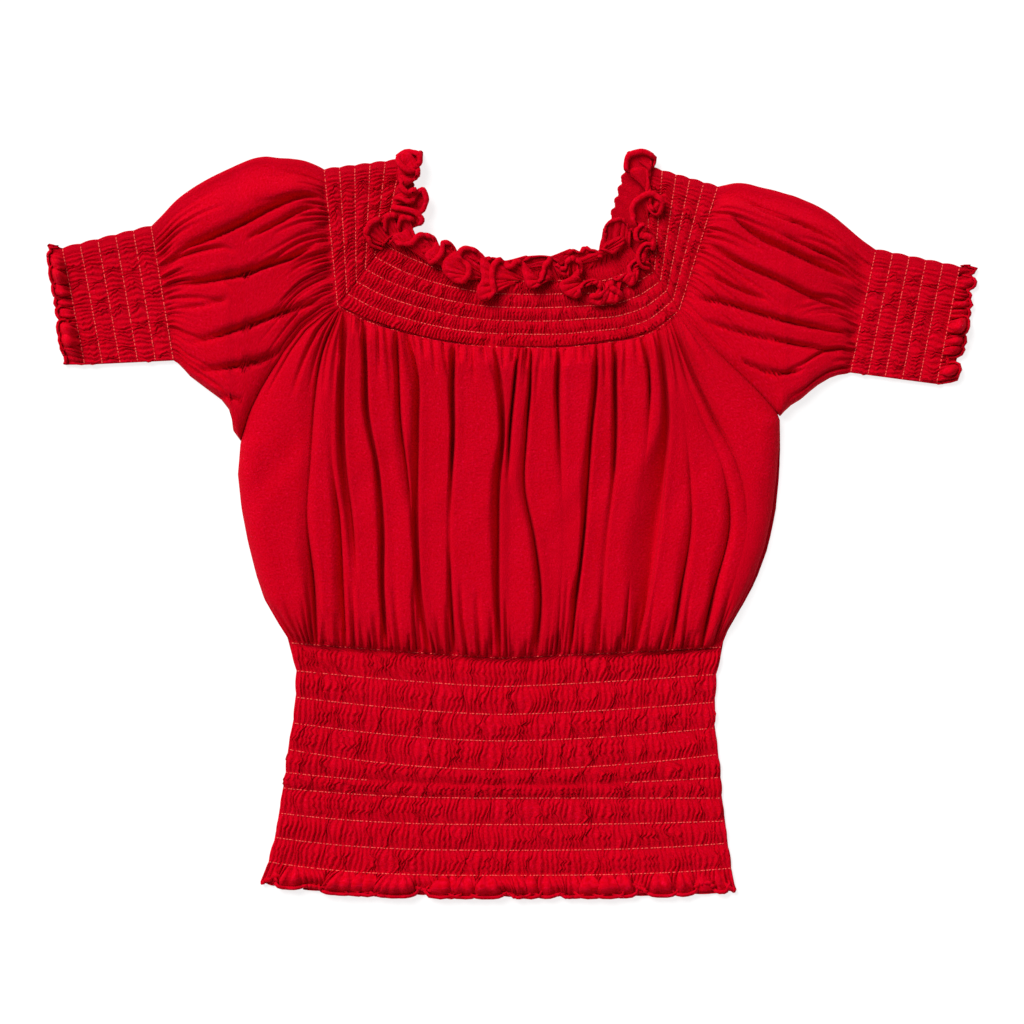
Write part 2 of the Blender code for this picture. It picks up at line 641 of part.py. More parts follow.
def front():
    columns = np.arange(FRONT_COLUMNS + 1) / FRONT_COLUMNS
    loose = [NECK_LAST + row.share for row in SIDES[1:-1]]
    rows = [-1, -0.5, *row_steps(0, NECK_LAST, 2), *loose, *row_steps(LOWER_FIRST, WAIST_LAST, 2)]
    rows += [WAIST_LAST + 0.5, WAIST_LAST + 1]
    inner = [-1, -0.5, *row_steps(0, NECK_LAST, 1), *loose, *row_steps(LOWER_FIRST, WAIST_LAST, 1)]
    inner += [WAIST_LAST + 0.5, WAIST_LAST + 1]
    return cloth_wall("front", front_outer, front_inner, columns, rows, inner)


def back():
    columns = np.linspace(0, 1, BACK_COLUMNS + 1)
    loose = [NECK_LAST + row.share for row in SIDES[1:-1]]
    rows = [-1, -0.5, 0, 2.5, NECK_LAST, *loose, LOWER_FIRST, 9, 12, WAIST_LAST, WAIST_LAST + 1]
    return cloth_wall("back", back_under, back_upper, columns, rows, rows)


def raglan_sleeve(name, sleeve, side, underarm, pleats):
    columns = [*np.linspace(0, 1, SLEEVE_COLUMNS + 1), *FOLD_STEPS, *BACK_STEPS]
    loose = [d for d in sleeve_rings(sleeve, side, underarm)[0] if NECK_LAST < d < LOWER_FIRST]
    rows = [-1, -0.5, *row_steps(0, NECK_LAST, 2), *loose, *row_steps(LOWER_FIRST, CUFF_LAST, 2)]
    rows += [CUFF_LAST + 0.5, CUFF_LAST + 1]
    inner = [-1, -0.5, 0, 2.5, NECK_LAST, *loose, LOWER_FIRST, 8.5, CUFF_LAST, CUFF_LAST + 1]

    def outer_face(turn, down):
        return sleeve_surface(turn, down, sleeve, side, underarm, pleats, 0.0)

    def inner_face(turn, down):
        return sleeve_surface(turn, down, sleeve, side, underarm, pleats, CLOTH)

    return cloth_wall(name, outer_face, inner_face, columns, rows, inner)


def main():
    for old in list(bpy.data.objects):
        bpy.data.objects.remove(old, do_unlink=True)
    blouse = bpy.data.collections.new("peasant_blouse")
    bpy.context.scene.collection.children.link(blouse)
    pieces = (
        front(),
        back(),
        raglan_sleeve("right_sleeve", RIGHT_SLEEVE, "right", RIGHT_UNDERARM, RIGHT_PLEATS),
        raglan_sleeve("left_sleeve", LEFT_SLEEVE, "left", LEFT_UNDERARM, LEFT_PLEATS),
    )
    for piece in pieces:
        blouse.objects.link(piece)


main()
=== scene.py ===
"""A red peasant blouse with puff sleeves, laid flat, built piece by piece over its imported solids.

It is laid out as a Blender add-on and run as a script. Sizes in the tables are in millimetres, and the
scene is in metres. +X is the wearer's left, +Y runs from the hem to the neck, and +Z is up from the
surface. A place on a piece is two numbers. "Across" runs from its right side to its left, and "down"
follows the cloth from the neck: -1 at the frill's edge, 0 to 5 on the neck rows of elastic thread, from 6
on the rows of the waist or cuff, and one past the last row at the other frill's edge.
"""

from collections import namedtuple

import bmesh
import bpy
import numpy as np
from bpy.props import FloatProperty, FloatVectorProperty, PointerProperty
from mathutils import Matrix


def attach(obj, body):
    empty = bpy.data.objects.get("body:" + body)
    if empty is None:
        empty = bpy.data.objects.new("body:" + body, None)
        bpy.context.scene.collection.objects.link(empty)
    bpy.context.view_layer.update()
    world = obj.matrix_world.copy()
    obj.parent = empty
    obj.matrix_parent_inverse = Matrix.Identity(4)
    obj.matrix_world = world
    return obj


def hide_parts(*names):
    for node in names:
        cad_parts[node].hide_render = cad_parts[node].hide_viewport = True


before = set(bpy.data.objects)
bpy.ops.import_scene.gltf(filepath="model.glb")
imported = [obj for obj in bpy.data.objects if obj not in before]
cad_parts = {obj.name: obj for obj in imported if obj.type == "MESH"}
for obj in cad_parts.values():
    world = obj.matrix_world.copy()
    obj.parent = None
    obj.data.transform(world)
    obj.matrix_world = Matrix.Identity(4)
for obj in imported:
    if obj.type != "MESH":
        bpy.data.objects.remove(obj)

bl_info = {
    "name": "Peasant blouse",
    "version": (1, 0, 0),
    "blender": (4, 5, 0),
    "location": "3D View > Sidebar > Blouse",
    "description": "Sews a shirred peasant blouse, laid flat",
    "category": "Add Mesh",
}

MM = 0.001

# ---- rows of elastic thread ----
NECK_LAST = 5
LOWER_FIRST = 6
WAIST_LAST = 15
CUFF_LAST = 11

# ---- heights, in mm ----
BACK_TOP = 1.5  # upper face of the back
FLAT_TOP = 3.3  # outer height of the shirred front
EDGE_TOP = 2.5  # outer height at a side edge
BODICE_TOP = 14.5  # crown of the loose front
SLEEVE_TOP = 14.0  # crown of a loose sleeve
RAGLAN_TOP = 8.0  # highest part of a raglan seam
SLEEVE_EDGE = 7.0  # fold along the top of a loose sleeve
SHIRRED_EDGE = 4.4  # fold along the top of a shirred one
INSIDE = BACK_TOP + 0.1  # lowest height of the front's cloth
UNDULATION = 0.8  # soft swells of the loose cloth

# ---- how the loose cloth swells: shares of its length beside a row, and mm beside an edge ----
TOP_SWELL = 0.075
BOTTOM_SWELL = 0.14
SLEEVE_SWELL = 0.22
CUFF_SWELL = 0.42
SIDE_ROUND = 15.0
RAGLAN_ROUND = 26.0
RAGLAN_CURVE = 0.7  # below 1, a raglan seam rises at once
OPEN_SIDE = 0.05  # share of the length over which a seam becomes an open edge
FOLD_ROUND = 5.5  # reach of the round fold along a sleeve's top, in mm
FOLD_START = 0.86  # share of the front layer where it begins to turn over
LOOSE_FROM, LOOSE_TO = 5.25, 5.8  # the fold is at its full height between these places down the cloth
SCALLOP = 0.9  # bulge of a side edge between two rows
UNDULATION_WIDTH = 17.0  # of the front's swells
SLEEVE_UNDULATION = (0.2, 13.0, 1.2, 30.0)  # slant and width of its swells, and size and width of their sway
SWELL_GAIN = 1.3  # the folds reach their full depth a little before the cloth is at its full height
BODICE_RUN = 217.0  # length of the loose part of the front
SLEEVE_RUN = 115.0  # length of the loose part of a sleeve

# ---- outline of the front and back ----
Side = namedtuple("Side", "share right left")
SIDES = (
    Side(0.000, -121.0, 117.5),
    Side(0.020, -131.5, 123.0),
    Side(0.070, -147.0, 132.5),
    Side(0.130, -157.5, 145.0),
    Side(0.190, -166.5, 160.0),
    Side(0.250, -175.0, 174.5),
    Side(0.315, -182.5, 188.0),
    Side(0.400, -189.0, 187.5),
    Side(0.500, -191.0, 185.5),
    Side(0.600, -188.5, 182.5),
    Side(0.700, -184.0, 177.5),
    Side(0.800, -178.0, 169.5),
    Side(0.870, -172.5, 161.5),
    Side(0.940, -163.0, 152.0),
    Side(1.000, -154.0, 147.0),
)
RIGHT_UNDERARM = 0.400
LEFT_UNDERARM = 0.315
BACK_PEEP = 2.6  # how far the back shows beyond the front's left edge

# ---- first and last neck rows: x and y from the wearer's right to left ----
FRONT_ROW = (
    (-89, 195), (-71.5, 186), (-56.5, 180), (-35.5, 174), (-14.5, 170.5),
    (3, 169.5), (24, 169.5), (45, 170), (66, 170), (83.5, 176.5), (96, 183),
)
BACK_ROW = (
    (-83.5, 200), (-63.5, 188.5), (-35.5, 180), (3, 176), (34.5, 177), (62.5, 179.5), (83.5, 193),
)
LAST_ROW = (
    (-121, 152), (-105.5, 143.5), (-77.5, 134), (-49.5, 127.5), (-21.5, 124),
    (6.5, 123), (34.5, 123), (62.5, 126), (83.5, 129), (101, 135), (117.5, 149),
)

# ---- waist rows ----
Waist = namedtuple("Waist", "right_x right_y middle_y left_x left_y")
WAIST = (
    Waist(-154.0, -83.5, -94.0, 147.0, -86.5),
    Waist(-150.0, -103.0, -114.0, 143.5, -105.5),
    Waist(-150.0, -121.5, -133.5, 142.0, -125.0),
    Waist(-152.0, -139.5, -152.0, 142.0, -143.0),
    Waist(-155.5, -158.0, -172.0, 144.5, -161.5),
    Waist(-157.5, -174.0, -182.5, 146.5, -177.5),
    Waist(-159.0, -185.0, -192.0, 147.0, -192.0),
    Waist(-161.5, -202.5, -210.5, 149.0, -208.0),
    Waist(-164.5, -219.5, -228.5, 151.0, -223.5),
    Waist(-169.5, -236.5, -246.0, 154.0, -241.0),
    Waist(-174.5, -249.5, -258.5, 157.0, -255.5),
)
WAIST_MIDDLE = -7.5  # x where the rows hang lowest
BEND_FIRST = 1.1  # the first row is nearly two straight lines, and each further one is rounder
BEND_STEP = 0.2
BEYOND_SIDE = 1.1  # a row can be read this far past its ends

# ---- folds of the front: x of each one's foot, where its +X side starts, by share of the way down ----
# Depth is by the same shares. Before and after are the widths of its sides to -X and to +X, and floor that
# of its bottom.
Fold = namedtuple("Fold", "x depth before floor after")
FOLD_SHARES = (0.0, 0.12, 0.28, 0.45, 0.62, 0.82, 1.0)
WIDE_BEFORE = (5, 5, 7, 14, 20, 14, 5)  # the -X side of the widest fold, by the same shares
FOLDS = (
    Fold((-119, -131, -137, -139.5, -142, -137.5, -135), (1.5, 2.5, 2.0, 1.0, 1.0, 4.0, 2.0), 10, 0.0, 5),
    Fold((-117, -122.5, -125.5, -124.5, -119.5, -117, -115), (0, 0, 0, 0.5, 2.5, 5.0, 3.0), 5, 1.0, 1.5),
    Fold((-114, -116, -117, -115.5, -110.5, -106.5, -105), (3.0, 5.5, 6.5, 6.0, 3.0, 0, 0), 2, 3.0, 1.5),
    Fold((-101.5, -101, -99.5, -92.5, -89, -89, -86), (2.5, 5.5, 6.5, 5.0, 5.5, 6.5, 2.5), 2.5, 1.5, 1.5),
    Fold((-80, -78.5, -77, -72, -68.5, -68, -67), (3.0, 4.0, 3.5, 2.5, 0, 0, 0), 6, 0.0, 2),
    Fold((-71.5, -65, -64.5, -65, -65, -62.5, -56), (2.0, 3.5, 4.0, 5.0, 6.0, 6.5, 2.5), 5, 1.5, 1.2),
    Fold((-39, -40, -40, -41.5, -42.5, -41.5, -38.5), (3.0, 6.0, 5.0, 1.5, 0.5, 2.5, 3.0), 2, 1.5, 2),
    Fold((-11, -6.5, -5, -8, -8.5, -8.5, -7), (3.0, 6.0, 6.5, 6.0, 5.0, 5.5, 3.0), 5, 0.8, 1.2),
    Fold((5, 2, -1, -2, -2, -2, 0), (3.0, 4.5, 3.0, 0, 0, 0, 0), 1.5, 0.0, 3),
    Fold((14.5, 13.5, 11, 9.5, 16.5, 21, 17.5), (2.5, 4.0, 2.5, 2.5, 3.0, 4.5, 2.5), 5, 0.0, 2),
    Fold((33.5, 32.5, 33.5, 35.5, 35.5, 34.5, 31.5), (3.0, 4.5, 2.0, 0.5, 0, 0.5, 1.5), 4, 0.0, 4),
    Fold((60, 60, 56.5, 54, 51, 46, 42), (3.0, 5.5, 5.0, 5.0, 4.5, 5.0, 2.5), 5, 0.3, 1.2),
    Fold((73.5, 73, 73.5, 71.5, 67, 63.5, 61.5), (3.0, 6.0, 5.0, 1.5, 0.8, 1.0, 2.0), 2, 1.2, 2),
    Fold((93, 96.5, 96, 91.5, 87, 82, 78.5), (3.5, 3.0, 0.8, 0, 0, 1.0, 2.5), 4, 0.0, 2),
    Fold((103, 107, 110, 107, 103, 96, 87.5), (3.0, 4.5, 5.5, 6.5, 7.0, 6.0, 3.0), WIDE_BEFORE, 1.0, 1.2),
    Fold((107.5, 113.5, 119.5, 124.5, 125.5, 118.5, 111.5), (0, 0, 0, 0.5, 1.5, 3.5, 2.5), 6, 0.0, 3),
    Fold((110, 118.5, 131, 147.5, 152.5, 142, 133), (0, 0, 0.5, 1.0, 2.0, 2.5, 2.5), 8, 0.0, 5),
    Fold((113, 122, 138.5, 158, 164.5, 154, 140.5), (3.5, 3.5, 2.5, 1.5, 0.5, 0.5, 1.0), 6, 0.0, 8),
)
FOLD_DEPTH = 2.15  # the tables' depths are multiplied by this
FOLD_CURVE = 1.6  # above 1, a fold's sides are hollow
FOLD_WAVERS = 7  # changes of a fold's depth and width along its run
WAVER_DEPTH, WAVER_WIDTH = 0.25, 0.5
SLIT = 4.2  # further depth at the foot of a fold
SLIT_WIDTH = 1.3
SLIT_FULL = 3  # a fold this deep in the table has the whole slit
LIP = 0.7  # rise of the cloth beside the +X side of a fold
LIP_WIDTH = 3.0
LIP_FULL = 5
BODICE_STEP = 1.2  # widest space between two columns of the bodice
LEAST_COLUMNS = 4  # between two folds
CROWD = 0.75  # how strongly columns crowd beside the folds
CROWD_RUN = 0.15  # share of the length beside a row in which they spread out evenly

# ---- frills at the neck: x, y and height of points along each edge, from the wearer's right ----
FRONT_LOOPS = (
    (-89, 194, 5), (-96.5, 196.5, 7), (-101.5, 201, 8), (-99, 208, 9), (-94, 211.5, 10), (-91, 205.5, 7),
    (-87.5, 204.5, 6), (-86.5, 213.5, 10), (-82, 214.5, 10), (-80.5, 206.5, 7), (-77.5, 205.5, 6),
    (-76, 213, 10), (-70.5, 212, 10), (-70.5, 206, 7), (-75, 201.5, 9), (-80, 200, 9), (-76.5, 196, 10),
    (-70, 195, 9), (-65, 200.5, 8), (-59, 201, 7), (-52.5, 198.5, 7), (-52, 192, 9), (-57.5, 187, 10),
    (-54, 183, 10), (-49, 188.5, 8), (-47.5, 195.5, 7), (-41.5, 195, 7), (-38.5, 188.5, 7), (-45, 183, 9),
    (-45, 176, 10), (-39, 171, 10), (-32, 171, 10), (-30, 178, 9), (-36.5, 185, 8), (-33.5, 191.5, 7),
    (-26, 191.5, 7), (-19.5, 186.5, 7), (-19, 179, 9), (-18, 170.5, 10), (-21.5, 163, 11), (-19, 157, 11),
    (-12.5, 160.5, 9), (-13.5, 170, 8), (-12.5, 179.5, 7), (-6.5, 184.5, 6), (0, 180, 7), (4, 183, 7),
    (9, 181.5, 7), (10.5, 173, 9), (13.5, 166, 10), (19, 165.5, 10), (23, 171, 9), (24, 179.5, 8),
    (27.5, 185, 7), (30, 180, 7), (34.5, 176, 8), (40, 178, 8), (40.5, 184.5, 7), (45.5, 184, 7),
    (47, 178, 8), (43.5, 172.5, 9), (37, 167.5, 10), (38.5, 162, 10), (45.5, 160, 10), (52, 165.5, 9),
    (59, 167, 9), (62.5, 161.5, 9), (56.5, 156.5, 10), (62.5, 154.5, 10), (65, 160.5, 9), (67, 156.5, 10),
    (73, 156, 10), (75.5, 160.5, 9), (70, 164, 9), (71.5, 169, 8), (78.5, 170, 8), (84.5, 167, 9),
    (88, 172, 8), (83.5, 177, 7), (89.5, 182.5, 7), (96, 181.5, 5),
)
RIGHT_LOOPS = (
    (-87.5, 197, 5), (-80, 203, 6), (-72, 206.5, 7), (-64.5, 207.5, 8), (-62, 212, 9), (-67, 217.5, 10),
    (-75, 219.5, 10), (-81.5, 220.5, 8), (-74, 217, 6), (-64, 216.5, 6), (-60, 221.5, 7), (-59, 226.5, 7),
    (-62, 233.5, 8), (-66.5, 231, 10), (-70, 226, 10), (-81.5, 225.5, 8), (-78, 229.5, 9), (-68, 229, 11),
    (-67.5, 233.5, 12), (-73.5, 231.5, 11), (-77.5, 235.5, 9), (-76, 241, 9), (-70, 239, 8), (-65, 241.5, 8),
    (-65.5, 247.5, 8), (-71.5, 246.5, 10), (-77, 251, 9), (-76, 257, 9), (-71, 255, 11), (-66, 248, 11),
    (-63, 251.5, 9), (-64, 257, 8), (-70, 259, 7), (-77.5, 255.5, 5),
)
LEFT_LOOPS = (
    (97.5, 180, 5), (91.5, 181.5, 7), (90.5, 188.5, 8), (94.5, 193, 9), (99.5, 191, 9), (100, 198, 9),
    (94.5, 202, 9), (89, 198.5, 8), (89, 205, 8), (94.5, 207.5, 9), (87.5, 209.5, 9), (83.5, 216.5, 9),
    (85.5, 223.5, 9), (91.5, 228.5, 9), (99.5, 230, 9), (104.5, 224.5, 9), (102, 217.5, 8), (98, 222, 8),
    (97.5, 230.5, 7), (96, 239, 7), (94, 246, 7), (87.5, 246, 8), (81, 244.5, 7), (80, 251, 7),
    (82.5, 257, 7), (91, 259.5, 7), (98, 256.5, 6), (97.5, 251, 5),
)
BACK_LOOPS = (
    (-83.5, 198.5, 4), (-74, 200, 5), (-69.5, 193.5, 4), (-60, 195.5, 5), (-54.5, 190, 4), (-45.5, 191.5, 5),
    (-39, 186, 4), (-31.5, 188, 5), (-23, 184, 4), (-14.5, 186, 5), (-7.5, 184.5, 5), (-0.5, 181.5, 4),
    (5.5, 185, 5), (13.5, 187, 5), (24, 187, 5), (31.5, 184.5, 5), (35.5, 182.5, 4), (36.5, 188.5, 6),
    (42, 191.5, 6), (48.5, 189.5, 5), (55.5, 191.5, 6), (60, 190, 5), (62.5, 185, 5), (63, 191, 7),
    (70.5, 190, 8), (77.5, 195, 8), (77.5, 199, 8), (71.5, 196.5, 8), (66, 194, 8), (63.5, 199, 7),
    (64.5, 205.5, 7), (68.5, 210.5, 7), (76.5, 212.5, 6), (81, 209.5, 5), (83.5, 203.5, 4),
)

# ---- frills at the hem and cuffs ----
# Count is how many waves, bulge how far one swells sideways as a share of a wave, and reach the share of
# the frill's length it keeps. Rise, out and floor are its height, its swell outwards and the height of its
# edge, and lip is the radius of the rolled edge, all in mm.
Waves = namedtuple("Waves", "count bulge rise reach out floor lip seed")
HEM_WAVES = Waves(18.5, 0.30, 7.5, 0.82, 7.0, 0.0, 1.2, 13)
BACK_HEM_WAVES = Waves(17.0, 0.08, 2.0, 1.0, 1.0, 0.5, 0.5, 77)
RIGHT_CUFF_WAVES = Waves(7.5, 0.27, 8.5, 0.72, 7.0, 0.0, 1.0, 34)
LEFT_CUFF_WAVES = Waves(8.5, 0.25, 9.0, 0.66, 11.0, 0.0, 0.9, 36)

# ---- sleeves: where each line round the sleeve meets its lower edge and its top fold ----
Ring = namedtuple("Ring", "low_x low_y top_x top_y")
Crease = namedtuple("Crease", "x y depth above below")  # a fold's foot, and the widths of its two sides
Sleeve = namedtuple(
    "Sleeve",
    "name side share edge row back_edge back_row tops underarm "
    "cuff cuff_end cuff_edge bow creases loops waves seed",
)
RIGHT_SLEEVE = Sleeve(
    name="right_sleeve",
    side="right",
    share=RIGHT_UNDERARM,
    edge=Ring(-75.0, 207.0, -63.0, 257.5),
    row=Ring(-89.0, 195.0, -77.0, 254.5),
    back_edge=(-75.0, 208.5),
    back_row=(-83.5, 200.0),
    tops=(
        (-130.5, 247.5), (-135, 250), (-144, 253.5), (-153.5, 255), (-162.5, 255.5),
        (-171.5, 256.5), (-180.5, 255), (-189.5, 251.5),
    ),
    underarm=(
        Ring(-194.0, 64.5, -196.0, 248.5),
        Ring(-195.5, 77.5, -202.5, 245.5),
        Ring(-202.5, 86.5, -211.5, 241.0),
        Ring(-214.0, 95.0, -222.5, 234.5),
        Ring(-224.5, 103.0, -234.0, 226.0),
        Ring(-231.5, 111.0, -243.5, 216.0),
    ),
    cuff=Ring(-236.0, 114.0, -251.5, 208.0),
    cuff_end=Ring(-298.0, 111.0, -313.5, 192.5),
    cuff_edge=Ring(-312.0, 111.0, -322.5, 195.0),
    bow=8.0,
    creases=(
        Crease((-165, -147.5, -131), (246, 243, 237.5), 5, 6.75, 2.5),
        Crease(
            (-237.5, -231, -208, -187, -168.5, -147, -135), (183, 188.5, 198.5, 208, 218, 226.5, 228), 8.75, 9, 3
        ),
        Crease(
            (-231.5, -208, -187, -168.5, -151, -136.5), (163.5, 169, 172.5, 179, 185, 194), 8.125, 8.25, 2.5
        ),
        Crease((-182.5, -165, -147.5, -135), (198.5, 207, 216.5, 221), 4.375, 6, 3),
        Crease((-224.5, -203.5, -180, -158, -144, -129.5), (125, 130, 138, 146.5, 151, 154.5), 6.25, 7.5, 3),
        Crease((-217.5, -194, -174.5, -154.5), (106, 108, 113, 121.5), 5.625, 7.5, 3),
        Crease((-236.5, -217.5, -196.5), (149.5, 151, 156.5), 3.75, 5.25, 3),
        Crease((-214, -200, -186), (91.5, 88, 84.5), 3.75, 4.5, 3),
    ),
    loops=RIGHT_LOOPS,
    waves=RIGHT_CUFF_WAVES,
    seed=31,
)
LEFT_SLEEVE = Sleeve(
    name="left_sleeve",
    side="left",
    share=LEFT_UNDERARM,
    edge=Ring(86.0, 193.5, 82.0, 257.0),
    row=Ring(96.0, 183.0, 96.0, 249.5),
    back_edge=(66.5, 204.0),
    back_row=(83.5, 193.0),
    tops=(
        (144.5, 235.5), (149, 236.5), (157, 238), (165, 237.5), (174.5, 235),
        (183.5, 233), (192, 230.5),
    ),
    underarm=(
        Ring(194.0, 81.5, 197.5, 229.0),
        Ring(203.0, 87.0, 205.0, 226.0),
        Ring(212.0, 95.0, 214.0, 222.0),
        Ring(221.0, 101.0, 224.0, 216.0),
        Ring(229.5, 104.0, 234.5, 207.5),
        Ring(234.0, 104.5, 244.5, 199.0),
    ),
    cuff=Ring(237.5, 105.5, 255.0, 191.5),
    cuff_end=Ring(297.5, 97.5, 313.5, 179.5),
    cuff_edge=Ring(310.0, 99.0, 323.5, 179.0),
    bow=0.0,
    creases=(
        Crease((152.5, 180.5, 204.5, 230.5), (230, 216, 207, 194), 6.47, 4.86, 2.5),
        Crease((154.5, 171, 192.5, 215, 241.5), (213, 200, 189.5, 179, 167.5), 10.1, 6.48, 2.5),
        Crease((140.5, 163, 184, 207, 240), (191.5, 179, 170, 158.5, 146.5), 8.62, 5.94, 2.5),
        Crease((188.5, 209.5, 237.5), (201, 191.5, 179), 5.03, 3.78, 2.5),
        Crease((126.5, 148.5, 178, 207, 234), (156.5, 153, 144, 137, 132), 7.19, 5.4, 3),
        Crease((136, 157, 178), (174, 163.5, 155), 5.03, 4.32, 2.5),
        Crease((132.5, 160.5, 195.5, 231), (141, 132.5, 125, 118.5), 5.03, 4.32, 3),
        Crease((160.5, 184, 202.5), (112.5, 104, 106), 5.75, 3.78, 3),
    ),
    loops=LEFT_LOOPS,
    waves=LEFT_CUFF_WAVES,
    seed=57,
)

# ---- shirring ----
FRONT_RIBS = 100  # gathers from side to side
BACK_RIBS = 90
SLEEVE_RIBS = 29  # gathers up the front layer of a sleeve
FOLD_RIBS = 3  # gathers round the fold along its top
RIB_STEPS = 4  # columns to a rib
BAND_STEPS = 7  # rows to a band
CREST = 1.9  # how narrow the ribs are
SHIFT_FADE = 0.035  # ribs lie straight along the sides, over this share of the width
YOKE_RIB = 0.80  # height of the ribs of the yoke, as a share of the waist's
CUFF_RIB = 0.75
RIB_FLOOR = 0.45  # least height of a rib, as a share of the highest
PINCH = 0.38  # what is left of a rib on a row of thread
ROW_DIP = 0.7  # how far the thread pulls the cloth down
PINCH_CURVE = 0.8
SPACING = (0.3, 7.0)  # unevenness of the ribs' spacing, and ribs that share it
KINK = 4.3  # sideways kink of the ribs between two rows
KINK_RIBS = 2.4  # ribs that kink together
KINK_PLACE = (0.2, 3.0)  # how far a kink lies off the middle of its band, and ribs that share it
KINK_REACH = 0.6  # share of the band that a kink takes up on either side
SMALL_KINK = (0.25, 1.5)  # a second kink as a share of the first, and ribs that share it
UNEVEN = 1.9  # sideways unevenness of single ribs
SNAKE = (0.6, 1.7)  # share of it that bends twice in a band, and ribs that share it
ZIGZAG_RIBS = 1.8
SHIFT_GAIN = 3  # how soon beyond a row the ribs may leave their straight line
ZIGZAGS = (  # sideways place of a rib at each row of a band, for three bands in turn
    (0, 1, -0.6, 0.2, -1, 0.9, 0.4, 0),
    (0, -0.7, 0.8, 1, -0.8, 0.2, -0.6, 0),
    (0, 0.6, 0.9, -1, 0.3, -0.7, 0.8, 0),
)
SIDE_FADE = 0.012  # ribs die away at the sides, over this share of the width
SLEEVE_SIDE_FADE = 0.03
YOKE_SHIFT = 0.6  # share of the sideways shift that is left in the yoke
SLEEVE_SHIFT = 0.8
SLEEVE_SHIFT_FADE = 0.08
BACK_SHIFT = 0.4  # the pressed ribs of the back wander less than the front's
BACK_RECESS = 0.7  # depth of the furrows in the back's underside
BACK_FURROW = 0.6  # depth of the folds in the back's loose part
BACK_FURROW_WIDTH = 9.0
BACK_FURROW_GAIN = 8  # how soon beyond a row they are at their full depth
BACK_RISE, BACK_NECK_RISE = 1.2, 2.2  # ribs on the back's upper face, and those beside its first row
BACK_RISE_TO = 2.5  # they go down to here, where the front covers them
BACK_UPPER_DROP = 0.2  # how far the upper face of its cloth lies under its stated height

# ---- gathers beside a row: each draws a share of the second number on top of the first, in mm ----
GATHERS = 74
SLEEVE_GATHERS = 32
GATHER_LENGTH = (12, 46)
GATHER_DEPTH = (3.4, 6.4)
GATHER_WIDTH = (1.4, 1.7)
GATHER_LEAN = 1.5
GATHER_SCATTER = 0.35  # how far one lies off its even place, as a share of the space between two
GATHER_START = 2.0  # it deepens over this length from the row
GATHER_TAPER = 0.7
GATHER_CURVE = 1.2
GATHER_FADE = 9.0  # the ribs of a row run this far into the loose cloth
SOFT_CREST = 0.9  # and are this narrow there
SLEEVE_RIB = 0.8  # and this high on a sleeve
PINCH_RUN = 2.5  # the thread pinches them over this length
DIP_RUN = 1.5

# ---- creases of the sleeves: a wide trough with a narrow one in it ----
CREASE_DEPTH = 1.75  # the tables' depths are multiplied by this
CREASE_ENDS = 4.5  # how soon a crease is at its full depth
CREASE_NARROW = 0.7  # the tables' widths of the steep sides are multiplied by this
WIDE_CURVE, INNER_CURVE = 1.5, 1.2
INNER_NARROW = 1.8  # how much narrower the inner trough is

# ---- frills ----
FRILL_LENGTH = 15.0  # of the cloth of a neck frill
FRILL_ROWS = 7
FRILL_GATHER = 2.5  # height of the gathers that run into a frill
FRILL_UNEVEN = 0.35
FRILL_GATHER_LOSS = 0.7  # share of them that is lost at a neck frill's edge
WAVE_GATHER_LOSS = 0.45  # and at that of a waved one
FRILL_SLACK = 0.3  # how high the spare length of a frill stands up
LIP_TURN = np.radians((45, 95, 150, 205, 260))  # the edge of a frill rolls back this far
LIP_RADIUS = 1.5
WAVE_DROOP = 0.88  # a wave rises and falls as this share of an arch does, so its edge stays raised
WAVE_SHIFT, WAVE_GROWTH = 0.75, 0.6  # how unequal the waves are in place and in size
WAVE_DRIFT = 0.9  # how often that changes, to a wave
WAVE_ENDS = 12  # how soon the waves are at their full size at the ends of a frill
WAVE_CURVE = 0.95
WALL = 0.10  # how far the walls of a wave lean over, as a share of a wave
LEAN_CURVE = 0.6
HEM_DROP = 1.5  # how far the back's frill shows below the front's
REAR_WAVES = 6  # ripples of the frill to one layer of a sleeve, on its back
REAR_FROM = 1.5  # turn of a sleeve where its frill starts to lie flat
REAR_EASE = 0.5  # and how long it takes
REAR_START = 0.1  # share of the frill's length at its first row there
FRONT_FRILL_COLUMNS = 400
BACK_FRILL_COLUMNS = 240
BACK_PLEATS = 45  # gathers of the back's frills

# ---- rows and columns of the loose parts ----
BODICE_ROWS = 76
BODICE_CROWD = 0.7  # how strongly its rows crowd beside the rows of thread
BACK_SPARSE = 2  # the back's loose part has one row for this many of the front's
BACK_UPPER_SPARSE = 6
BACK_UPPER_COLUMNS = 3  # its upper face has one column for this many of its underside
BACK_UPPER_STEPS = 2  # rows to a band of its upper face at the waist
SLEEVE_ROWS = 56
FOLD_COLUMNS = 12
LINING_STEP = 3  # the lining has a row and a column for this many of the outer face
PLAIN_FROM = 0.9  # turn of a sleeve where its lining follows the fold
SMOOTH_WITHIN = 0.25  # share of a layer, beside its lower edge, over which its shape becomes smooth
RIDGE_LOSS = 0.4  # share of a rib's height that is lost where the front layer turns over
BEND_RIDGE = 0.6  # share of it that goes round the fold
BEND_RIDGE_TO = 1.6  # turn where it ends

# ---- places of the cloth on its cut, in metres ----
BODY_WIDTH = 0.47
BODY_RUN = (0.0, 0.022, 0.070, 0.290, 0.460, 0.475)
TUBE_WIDTH = 0.42  # of a sleeve opened flat
TUBE_RUN = (0.0, 0.02, 0.068, 0.19, 0.25, 0.265)
TIGHT_FADE = 0.1  # the cloth counts as gathered over this share of its loose length

